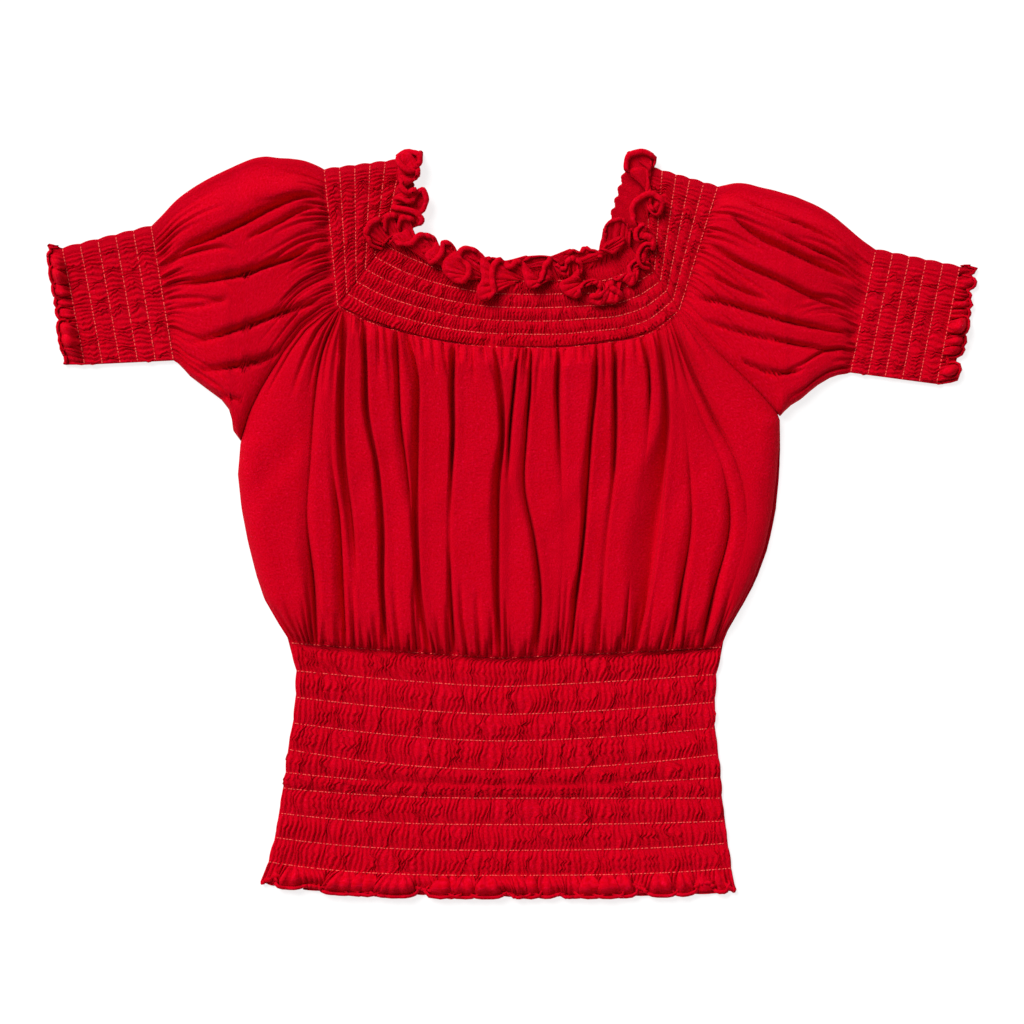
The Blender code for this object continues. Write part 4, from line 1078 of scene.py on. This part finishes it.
def sew_shell(name, zones, cut):
    """One closed shell from zones that follow each other down the cloth. Cut gives a vertex its place on
    the flat cloth."""
    bm = bmesh.new()
    sides = ([], [])
    laid = []
    for face_number in (0, 1):
        for zone in zones:
            face = zone[face_number]
            verts, numbers = add_grid(bm, face)
            sides[face_number].append((face, verts))
            laid.append((face, numbers))
    for chain in sides:
        for (above, upper), (below, lower) in zip(chain, chain[1:]):
            lace(bm, upper[-1], shares_of(above), lower[0], shares_of(below))
    for end in (0, -1):
        (over, over_verts), (under, under_verts) = (chain[end] for chain in sides)
        lace(bm, over_verts[end], shares_of(over), under_verts[end], shares_of(under))
    for end in (0, -1):
        chains = []
        for chain in sides:
            verts = [row[end] for _, grid in chain for row in grid]
            at = [down for face, _ in chain for down in face.down]
            chains += [verts, at]
        lace(bm, *chains)
    mesh = bpy.data.meshes.new(name)
    piece = new_piece(name, bm, mesh)
    spots = np.zeros((len(mesh.vertices), 2))
    tight = np.zeros(len(mesh.vertices))
    for face, numbers in laid:
        down, across = np.meshgrid(face.down, shares_of(face), indexing="ij")
        spots[numbers.ravel()] = np.stack(cut(across.ravel(), down.ravel()), axis=1)
        loose = np.minimum(down - NECK_LAST, LOWER_FIRST - down).ravel()
        tight[numbers.ravel()] = 1 - ease(loose / TIGHT_FADE)
    corners = np.empty(len(mesh.loops), int)
    mesh.loops.foreach_get("vertex_index", corners)
    mesh.uv_layers.new(name="cut").data.foreach_set("uv", spots[corners].ravel())
    mesh.attributes.new("gathered", "FLOAT", "POINT").data.foreach_set("value", tight)
    return piece


def shares_of(face):
    """Each column's share of the way across."""
    return (face.across - face.across[0]) / (face.across[-1] - face.across[0])


def steps(first, last, each, ends=(True, True)):
    """Rows from a first to a last whole row, that many to each, with or without the ends."""
    rows = np.linspace(first, last, int(round((last - first) * each)) + 1)
    return rows[0 if ends[0] else 1 : None if ends[1] else -1]


# ---------------------------------------------------------------- pieces


def body_cut(across, down):
    """Where a place on the front or back lies on its cut."""
    knots = (-1, 0, NECK_LAST, LOWER_FIRST, WAIST_LAST, WAIST_LAST + 1)
    return across * BODY_WIDTH, np.interp(down, knots, BODY_RUN)


def sleeve_cut(across, down):
    """Where a place on a sleeve lies on its cut."""
    knots = (-1, 0, NECK_LAST, LOWER_FIRST, CUFF_LAST, CUFF_LAST + 1)
    return across * TUBE_WIDTH, np.interp(down, knots, TUBE_RUN)


def frill_zone(points, thread, edge, columns):
    """A frill's faces. Thread and edge are the places down the cloth where it starts and ends."""
    rows = blend(thread, edge, np.arange(1, len(points) + 1) / len(points))
    if edge < thread:
        points, rows = points[::-1], rows[::-1]
    outer = Face(points, rows, columns)
    return Zone(outer, behind(outer))


def body_frills(neck, loops, waist, hem, waves, count, low, ribs):
    """The frills at the neck and hem of the front or back. Neck and waist are the surfaces that they leave,
    and hem is the line that the lower one is made along."""
    columns = np.linspace(0, 1, count + 1)
    points = frill_points(row_of(neck, 0, columns), loop_edge(loops, columns), low, ribs)
    upper = frill_zone(points, 0, -1, columns)
    thread = row_of(waist, WAIST_LAST, columns)
    edge = row_of(hem, WAIST_LAST + 1, columns)
    points = wave_points(thread, edge, waves, columns, low, ribs)
    return upper, frill_zone(points, WAIST_LAST, WAIST_LAST + 1, columns)


def bodice_rows():
    """Rows of the bodice, closer together beside the rows of thread."""
    even = np.linspace(0, 1, BODICE_ROWS + 1)
    return NECK_LAST + even - BODICE_CROWD * np.sin(2 * np.pi * even) / (2 * np.pi)


def front_columns():
    return np.linspace(0, 1, FRONT_RIBS * RIB_STEPS + 1)


def front_hem_edge(across, down):
    """The line that the front's hem frill is made along."""
    x, y = waist_plan(across, down)
    return x, y, np.full_like(x, FLAT_TOP)


def build_front():
    columns = front_columns()
    yoke = laid_out(yoke_front, steps(0, NECK_LAST, BAND_STEPS, (True, False)), columns)
    bodice = laid_out(bodice_front, bodice_rows(), np.arange(bodice_columns()[-1] + 1))
    waist = laid_out(waist_front, steps(LOWER_FIRST, WAIST_LAST, BAND_STEPS, (False, True)), columns)
    upper, lower = body_frills(
        yoke_front, FRONT_LOOPS, waist_front, front_hem_edge, HEM_WAVES, FRONT_FRILL_COLUMNS, INSIDE, FRONT_RIBS
    )
    zones = [upper, *(Zone(face, lining(face, INSIDE)) for face in (yoke, bodice, waist)), lower]
    return sew_shell("front_cloth", zones, body_cut)


def peep(across, down):
    """How far the back's left edge shows beyond the front's."""
    share = np.clip((down - NECK_LAST - LEFT_UNDERARM) / (1 - LEFT_UNDERARM), 0, 1)
    return BACK_PEEP * np.sin(np.pi * share) * across**3


def back_relief(across, down):
    """Depth of the furrows between the gathers, where the back is shirred, and their sideways shift."""
    depth = np.zeros_like(across)
    shift = np.zeros_like(across)
    for first, last, name in ((0, NECK_LAST, "back yoke"), (LOWER_FIRST, WAIST_LAST, "back waist")):
        here = (down >= first) & (down <= last)
        if here.any():
            rib = across[here] * BACK_RIBS
            height, slide, _ = shirring(rib, down[here] - first, last - first, SEEDS[name])
            side = fade_at_sides(across[here], SIDE_FADE)
            depth[here] = (1 - height) * side
            shift[here] = BACK_SHIFT * slide * fade_at_sides(across[here], SHIFT_FADE)
    return depth, shift


def back_plan(across, down):
    """x and y on the back."""
    neck_x, neck_y = neck_plan(across, down, BACK_ROW)
    share = np.clip(down - NECK_LAST, 0, 1)
    even_x = blend(side_x(share, "right"), side_x(share, "left"), across)
    top = line_at(LAST_ROW, blend(LAST_ROW[0][0], LAST_ROW[-1][0], across))
    bottom = waist_row(0, blend(WAIST[0].right_x, WAIST[0].left_x, across))
    waist_x, waist_y = waist_plan(across, np.maximum(down, LOWER_FIRST))
    x = np.where(down <= NECK_LAST, neck_x, np.where(down >= LOWER_FIRST, waist_x, even_x))
    y = np.where(down <= NECK_LAST, neck_y, np.where(down >= LOWER_FIRST, waist_y, blend(top, bottom, share)))
    return x + peep(across, down), y


def back_under(across, down):
    """x, y and z on the face that the blouse rests on."""
    x, y = back_plan(across, down)
    depth, shift = back_relief(across, down)
    loose = (down > NECK_LAST) & (down < LOWER_FIRST)
    share = np.clip(down - NECK_LAST, 0, 1)
    sway = 2 * drift(share * 4, SEEDS["back sway"])
    furrows = 0.5 + 0.5 * drift(x / BACK_FURROW_WIDTH + sway, SEEDS["back furrows"])
    ends = ease(BACK_FURROW_GAIN * share) * ease(BACK_FURROW_GAIN * (1 - share))
    depth = np.where(loose, BACK_FURROW * ends * furrows, depth * BACK_RECESS)
    return x + shift, y, depth


def back_upper(across, down):
    """x, y and z on the back's other face, which shows in the neck."""
    x, y = back_plan(across, down)
    depth, shift = back_relief(across, down)
    rise = blend(BACK_RISE, BACK_NECK_RISE, down < 1) * (1 - depth) * (down < BACK_RISE_TO)
    return x + shift, y, BACK_TOP + rise - BACK_UPPER_DROP


def back_hem_edge(across, down):
    x, y = waist_plan(across, down)
    return x, y - HEM_DROP, np.full_like(x, BACK_TOP)


def turned(zone):
    """The zone with its cloth on the upper side of the face it was laid on."""
    points = 2 * zone.outer.points - zone.inner.points
    points[:, :, 2] = np.maximum(points[:, :, 2], 0)
    return Zone(zone.outer, Face(points, zone.inner.down, zone.inner.across))


def build_back():
    """The back, whose outer face is its underside."""
    columns = np.linspace(0, 1, BACK_RIBS * RIB_STEPS + 1)
    few = columns[::BACK_UPPER_COLUMNS]
    yoke = steps(0, NECK_LAST, BAND_STEPS, (True, False))
    waist, upper_waist = (
        steps(LOWER_FIRST, WAIST_LAST, each, (False, True)) for each in (BAND_STEPS, BACK_UPPER_STEPS)
    )
    zones = []
    for rows, upper_rows, upper_columns in (
        (yoke, yoke, columns),
        (bodice_rows()[::BACK_SPARSE], bodice_rows()[::BACK_UPPER_SPARSE], few),
        (waist, upper_waist, few),
    ):
        under = laid_out(back_under, rows, columns)
        zones.append(Zone(under, laid_out(back_upper, upper_rows, upper_columns)))
    neck, hem = body_frills(
        back_under, BACK_LOOPS, back_under, back_hem_edge, BACK_HEM_WAVES, BACK_FRILL_COLUMNS, 0.0, BACK_PLEATS
    )
    return sew_shell("back_cloth", [turned(neck), *zones, turned(hem)], body_cut)


def sleeve_columns():
    """Columns up the front layer of a sleeve, round the fold and down its back layer."""
    front = np.linspace(0, 1, SLEEVE_RIBS * RIB_STEPS + 1)
    fold = np.linspace(1, 2, FOLD_COLUMNS + 1)[1:]
    rear = np.linspace(2, 3, SLEEVE_RIBS * RIB_STEPS // 2 + 1)[1:]
    return np.concatenate([front, fold, rear])


def sleeve_face(sleeve, inset=0.0):
    """The outer face of a sleeve, or the one that lies an inset behind it."""
    return lambda turn, down: sleeve_surface(turn, down, sleeve, inset)


def sleeve_frill(sleeve, row_points, thread, edge_down):
    """A frill of a sleeve: curled on its front layer, and flat with small ripples on its back."""
    columns = sleeve_columns()
    edge = row_of(sleeve_face(sleeve), edge_down, columns)
    if edge_down < thread:
        upper = columns <= 1
        edge[upper] = looped = loop_edge(sleeve.loops, columns[upper])
        beyond = (columns > 1) & (columns < REAR_FROM)
        edge[beyond] = blend(looped[-1], edge[beyond], ease((columns[beyond] - 1) / (REAR_FROM - 1))[:, None])
        points = frill_points(row_points, edge, thickness(), SLEEVE_RIBS)
    else:
        points = wave_points(row_points, edge, sleeve.waves, columns, thickness(), SLEEVE_RIBS)
    part = np.linspace(REAR_START, 1, len(points))[:, None, None]
    ripple = np.sin(2 * np.pi * REAR_WAVES * columns)[None, :, None]
    out = edge - row_points
    flat = row_points + out * part + unit(out) * part * ripple
    flat[:, :, 2] += part[:, :, 0] * (1 + ripple[:, :, 0]) + pleats(SLEEVE_RIBS, columns) * 0.5
    points = blend(points, flat, ease((columns - REAR_FROM) / REAR_EASE)[None, :, None])
    points[:, :, 2] = np.maximum(points[:, :, 2], thickness())
    return frill_zone(points, thread, edge_down, columns)


def build_sleeve(sleeve):
    columns = sleeve_columns()
    zones = []
    for rows in (
        steps(0, NECK_LAST, BAND_STEPS, (True, False)),
        NECK_LAST + np.linspace(0, 1, SLEEVE_ROWS + 1),
        steps(LOWER_FIRST, CUFF_LAST, BAND_STEPS, (False, True)),
    ):
        face = laid_out(sleeve_face(sleeve), rows, columns)
        lined = lining(face, BACK_TOP)
        inner = laid_out(sleeve_face(sleeve, thickness()), lined.down, lined.across)
        points = np.where((lined.across <= PLAIN_FROM)[None, :, None], lined.points, inner.points)
        zones.append(Zone(face, Face(points, lined.down, lined.across)))
    neck = sleeve_frill(sleeve, zones[0].outer.points[0], 0, -1)
    cuff = sleeve_frill(sleeve, zones[-1].outer.points[-1], CUFF_LAST, CUFF_LAST + 1)
    return sew_shell(sleeve.name + "_cloth", [neck, *zones, cuff], sleeve_cut)


# ---------------------------------------------------------------- thread


def stitch_line(points, seed):
    """Starts and ends of the stitches along a line of points, in mm."""
    sizes = bpy.context.scene.blouse_sizes
    pitch = sizes.stitch_pitch / MM
    long = sizes.stitch_length / MM
    space = np.linalg.norm(np.diff(points[:, :2], axis=0), axis=1)
    travel = np.concatenate([[0], np.cumsum(space)])
    rng = np.random.default_rng(seed)
    count = int(travel[-1] / pitch)
    starts = (np.arange(count) + FIRST_STITCH + STITCH_UNEVEN * rng.uniform(-1, 1, count)) * pitch
    ends = starts + long * (1 + STITCH_UNEVEN * rng.uniform(-1, 1, count))
    place = [np.stack([np.interp(at, travel, points[:, i]) for i in range(3)], axis=1) for at in (starts, ends)]
    for one in place:
        one[:, 2] += THREAD_LIFT
    return place


def sew_stitches(name, lines):
    """One joined mesh of stitches from their starts and ends."""
    sizes = bpy.context.scene.blouse_sizes
    starts = np.concatenate([line[0] for line in lines]) * MM
    ends = np.concatenate([line[1] for line in lines]) * MM
    along = ends - starts
    across = np.cross(along, (0, 0, 1.0))
    across /= np.linalg.norm(across, axis=1, keepdims=True)
    up = np.cross(across, along)
    up /= np.linalg.norm(up, axis=1, keepdims=True)
    shape = np.array(STITCH_SHAPE)
    half = sizes.stitch_width / 2
    verts = (
        starts[:, None]
        + along[:, None] * shape[None, :, :1]
        + across[:, None] * shape[None, :, 1:2] * half
        + up[:, None] * shape[None, :, 2:] * half
    )
    faces = [tuple(v + len(shape) * n for v in face) for n in range(len(starts)) for face in STITCH_FACES]
    mesh = bpy.data.meshes.new(name)
    mesh.from_pydata(verts.reshape(-1, 3).tolist(), [], faces)
    bm = bmesh.new()
    bm.from_mesh(mesh)
    return new_piece(name, bm, mesh)


def build_front_stitches():
    columns = front_columns()
    lines = [stitch_line(row_of(yoke_front, number, columns), number) for number in range(NECK_LAST + 1)]
    for number in range(LOWER_FIRST, WAIST_LAST + 1):
        row = row_of(waist_front, number, columns)
        if number == BROKEN_ROW:
            spans = [[int(share * (len(row) - 1)) for share in span] for span in BROKEN_SPANS]
            lines += [stitch_line(row[first:last], number) for first, last in spans]
        else:
            lines.append(stitch_line(row, number))
    return sew_stitches("front_stitches", lines)


def build_sleeve_stitches(sleeve):
    columns = sleeve_columns()
    columns = columns[columns < THREAD_END]
    lines = []
    for number in (*range(NECK_LAST + 1), *range(LOWER_FIRST, CUFF_LAST + 1)):
        lines.append(stitch_line(row_of(sleeve_face(sleeve), number, columns), number + SLEEVE_THREAD_SEED))
    return sew_stitches(sleeve.name + "_stitches", lines)


# ---------------------------------------------------------------- materials


class Value:
    """A socket of a material that sums and multiplies like a number."""

    def __init__(self, maker, socket):
        self.maker = maker
        self.socket = socket

    def maths(self, operation, first, second):
        return self.maker.node("ShaderNodeMath", "Value", {"operation": operation}, {0: first, 1: second})

    def __add__(self, other):
        return self.maths("ADD", self, other)

    def __sub__(self, other):
        return self.maths("SUBTRACT", self, other)

    def __mul__(self, other):
        return self.maths("MULTIPLY", self, other)

    def __radd__(self, other):
        return self.maths("ADD", other, self)

    def __rsub__(self, other):
        return self.maths("SUBTRACT", other, self)

    def __rmul__(self, other):
        return self.maths("MULTIPLY", other, self)

    def sine(self):
        return self.maths("SINE", self, 0.0)


class Maker:
    """Adds nodes to one material."""

    def __init__(self, name):
        self.material = bpy.data.materials.new(name)
        self.material.use_nodes = True
        self.tree = self.material.node_tree
        self.shader = self.tree.nodes["Principled BSDF"]

    def node(self, kind, output, settings, inputs):
        made = self.tree.nodes.new(kind)
        for name, value in settings.items():
            setattr(made, name, value)
        for name, value in inputs.items():
            self.give(made.inputs[name], value)
        return Value(self, made.outputs[output])

    def give(self, socket, value):
        if isinstance(value, Value):
            self.tree.links.new(value.socket, socket)
        else:
            socket.default_value = value

    def noise(self, place, grain):
        scale, detail = grain
        return self.node("ShaderNodeTexNoise", 0, {}, {"Vector": place, "Scale": scale, "Detail": detail})

    def paint(self, colour, finish):
        """Gives the shader a base colour and the rest of its finish, and returns the material."""
        for name, value in {"Base Color": colour, **finish}.items():
            self.give(self.shader.inputs[name], value)
        return self.material


def opaque(colour):
    return (*colour, 1.0)


def cloth_material(maker):
    """Fine matte cotton: its weave, paler specks and lint, the specks partly a painted glint of threads catching
    the light, and creases that are closer where it is gathered.
    """
    colours = bpy.context.scene.blouse_colours
    spot = maker.node("ShaderNodeUVMap", "UV", {"uv_map": "cut"}, {})
    u, v = (maker.node("ShaderNodeSeparateXYZ", axis, {}, {0: spot}) for axis in "XY")
    turn = 2 * np.pi / bpy.context.scene.blouse_sizes.weave
    weave = (u * turn).sine() * (v * turn).sine()
    speckle = maker.noise(spot, SPECKLE)
    lint_range = {"Value": maker.noise(spot, LINT), "From Min": LINT_FROM, "From Max": LINT_TO}
    lint = maker.node("ShaderNodeMapRange", 0, {}, lint_range)
    cloudy = maker.noise(spot, CLOUDY)
    crumple = maker.noise(spot, CRUMPLE)
    gathered = maker.node("ShaderNodeAttribute", "Fac", {"attribute_name": "gathered"}, {})
    times = {"operation": "MULTIPLY"}
    narrow = maker.node("ShaderNodeVectorMath", "Vector", times, {0: spot, 1: WRINKLE_STRETCH})
    wrinkle = maker.noise(narrow, WRINKLE)
    # share of the paler colour: random tone and lint, and specks that are partly a painted glint of threads
    # catching the light
    light = (speckle - 0.5) * SPECKLE_LIGHT + (cloudy - 0.5) * CLOUDY_LIGHT + lint + LIGHT
    shades = {0: light, 6: opaque(colours.cloth), 7: opaque(colours.pale_specks_and_glint)}
    colour = maker.node("ShaderNodeMix", 2, {"data_type": "RGBA", "clamp_factor": True}, shades)
    height = weave * WEAVE_RELIEF + speckle * SPECKLE_RELIEF + crumple * CRUMPLE_RELIEF
    height = height + gathered * wrinkle * WRINKLE_RELIEF
    relief = {"Strength": RELIEF_STRENGTH, "Distance": 1.0, "Height": height}
    bump = maker.node("ShaderNodeBump", "Normal", {}, relief)
    return maker.paint(colour, {"Normal": bump, **CLOTH_FINISH})


def thread_material(maker):
    return maker.paint(opaque(bpy.context.scene.blouse_colours.thread), THREAD_FINISH)


def floor_material(maker):
    return maker.paint(opaque(bpy.context.scene.blouse_colours.floor), FLOOR_FINISH)


def dress(piece, name, make):
    """Gives a piece the material of that name, which is made once."""
    piece.data.materials.clear()
    piece.data.materials.append(bpy.data.materials.get(name) or make(Maker(name)))


def finish_cloth(piece, node):
    dress(piece, "red_cotton", cloth_material)
    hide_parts(node)
    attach(piece, "root")


def finish_thread(piece):
    dress(piece, "coral_thread", thread_material)
    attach(piece, "root")


# ---------------------------------------------------------------- add-on


class BlouseSizes(bpy.types.PropertyGroup):
    """Sizes of the cloth and thread"""

    thickness: FloatProperty(
        name="Cloth",
        description="Thickness of the cloth",
        default=0.0008,
        precision=5,
        unit="LENGTH",
    )
    rib: FloatProperty(
        name="Rib",
        description="Height of the highest gathers of the shirring",
        default=0.0035,
        precision=5,
        unit="LENGTH",
    )
    weave: FloatProperty(
        name="Weave",
        description="Space between two threads of the cloth",
        default=0.00045,
        precision=5,
        unit="LENGTH",
    )
    stitch_pitch: FloatProperty(
        name="Stitch pitch",
        description="From one stitch to the next",
        default=0.0022,
        precision=5,
        unit="LENGTH",
    )
    stitch_length: FloatProperty(
        name="Stitch length",
        description="Length of one stitch",
        default=0.00195,
        precision=5,
        unit="LENGTH",
    )
    stitch_width: FloatProperty(
        name="Stitch width",
        description="Width of the thread",
        default=0.00078,
        precision=5,
        unit="LENGTH",
    )


class BlouseColours(bpy.types.PropertyGroup):
    """Colours of the cloth, thread and floor"""

    cloth: FloatVectorProperty(
        name="Cloth",
        description="Colour of the cloth",
        default=(0.55, 0.0, 0.005),
        size=3,
        subtype="COLOR",
    )
    # paler colour that noise mixes into the cloth: its own random tone, specks and lint, and partly a painted
    # glint of raised threads catching the light
    pale_specks_and_glint: FloatVectorProperty(
        name="Raised threads",
        description="Colour of the cloth where its threads catch the light",
        default=(0.73, 0.002, 0.026),
        size=3,
        subtype="COLOR",
    )
    thread: FloatVectorProperty(
        name="Thread",
        description="Colour of the elastic thread",
        default=(0.97, 0.11, 0.095),
        size=3,
        subtype="COLOR",
    )
    floor: FloatVectorProperty(
        name="Floor",
        description="Colour of the floor",
        default=(0.3, 0.3, 0.3),
        size=3,
        subtype="COLOR",
    )


class MakeFront(bpy.types.Operator):
    """Sews the front with its yoke, waist and frills, and the thread on it"""

    bl_idname = "blouse.make_front"
    bl_label = "Make front"

    def execute(self, context):
        finish_cloth(build_front(), "front")
        finish_thread(build_front_stitches())
        return {"FINISHED"}


class MakeBack(bpy.types.Operator):
    """Sews the back, which the blouse rests on"""

    bl_idname = "blouse.make_back"
    bl_label = "Make back"

    def execute(self, context):
        finish_cloth(build_back(), "back")
        return {"FINISHED"}


class MakeSleeves(bpy.types.Operator):
    """Sews both sleeves and the thread on them"""

    bl_idname = "blouse.make_sleeves"
    bl_label = "Make sleeves"

    def execute(self, context):
        for sleeve in (RIGHT_SLEEVE, LEFT_SLEEVE):
            finish_cloth(build_sleeve(sleeve), sleeve.name)
            finish_thread(build_sleeve_stitches(sleeve))
        return {"FINISHED"}


def add_floor():
    bpy.ops.mesh.primitive_plane_add(size=FLOOR_SIZE, location=(0, 0, FLOOR_Z))
    floor = bpy.context.object
    floor.name = "floor"
    dress(floor, "white_floor", floor_material)


def add_sun():
    bpy.ops.object.light_add(type="SUN", location=SUN_PLACE)
    lamp = bpy.context.object
    lamp.name = "key"
    lamp.data.energy = SUN_STRENGTH
    lamp.data.angle = SUN_SPREAD
    lamp.rotation_euler = lamp.location.to_track_quat("Z", "Y").to_euler()


def add_sky(scene):
    scene.world = bpy.data.worlds.new("studio")
    scene.world.use_nodes = True
    sky = scene.world.node_tree.nodes["Background"]
    sky.inputs["Color"].default_value = (1, 1, 1, 1)
    sky.inputs["Strength"].default_value = SKY_STRENGTH


def add_camera(scene):
    bpy.ops.object.camera_add(location=CAMERA_PLACE, rotation=(0, 0, 0))
    scene.camera = bpy.context.object
    scene.camera.data.lens = LENS
    scene.camera.data.sensor_width = SENSOR


class MakeStage(bpy.types.Operator):
    """Adds the floor, the light and the camera"""

    bl_idname = "blouse.make_stage"
    bl_label = "Make stage"

    def execute(self, context):
        add_floor()
        add_sun()
        add_sky(context.scene)
        add_camera(context.scene)
        context.scene.view_settings.view_transform = "Standard"
        return {"FINISHED"}


class BlousePanel(bpy.types.Panel):
    """Lists the pieces of the blouse"""

    bl_label = "Peasant blouse"
    bl_idname = "VIEW3D_PT_peasant_blouse"
    bl_space_type = "VIEW_3D"
    bl_region_type = "UI"
    bl_category = "Blouse"

    def draw(self, context):
        for group in (context.scene.blouse_sizes, context.scene.blouse_colours):
            for name in group.__annotations__:
                self.layout.prop(group, name)
        for operator in OPERATORS:
            self.layout.operator(operator.bl_idname)


OPERATORS = (MakeBack, MakeFront, MakeSleeves, MakeStage)
CLASSES = (BlouseSizes, BlouseColours, *OPERATORS, BlousePanel)


def register():
    for cls in CLASSES:
        bpy.utils.register_class(cls)
    bpy.types.Scene.blouse_sizes = PointerProperty(type=BlouseSizes)
    bpy.types.Scene.blouse_colours = PointerProperty(type=BlouseColours)


def unregister():
    del bpy.types.Scene.blouse_colours
    del bpy.types.Scene.blouse_sizes
    for cls in reversed(CLASSES):
        bpy.utils.unregister_class(cls)


def main():
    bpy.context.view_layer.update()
    bpy.ops.object.select_all(action="DESELECT")
    register()
    bpy.ops.blouse.make_back()
    bpy.ops.blouse.make_front()
    bpy.ops.blouse.make_sleeves()
    bpy.ops.blouse.make_stage()


if __name__ == "__main__":
    main()
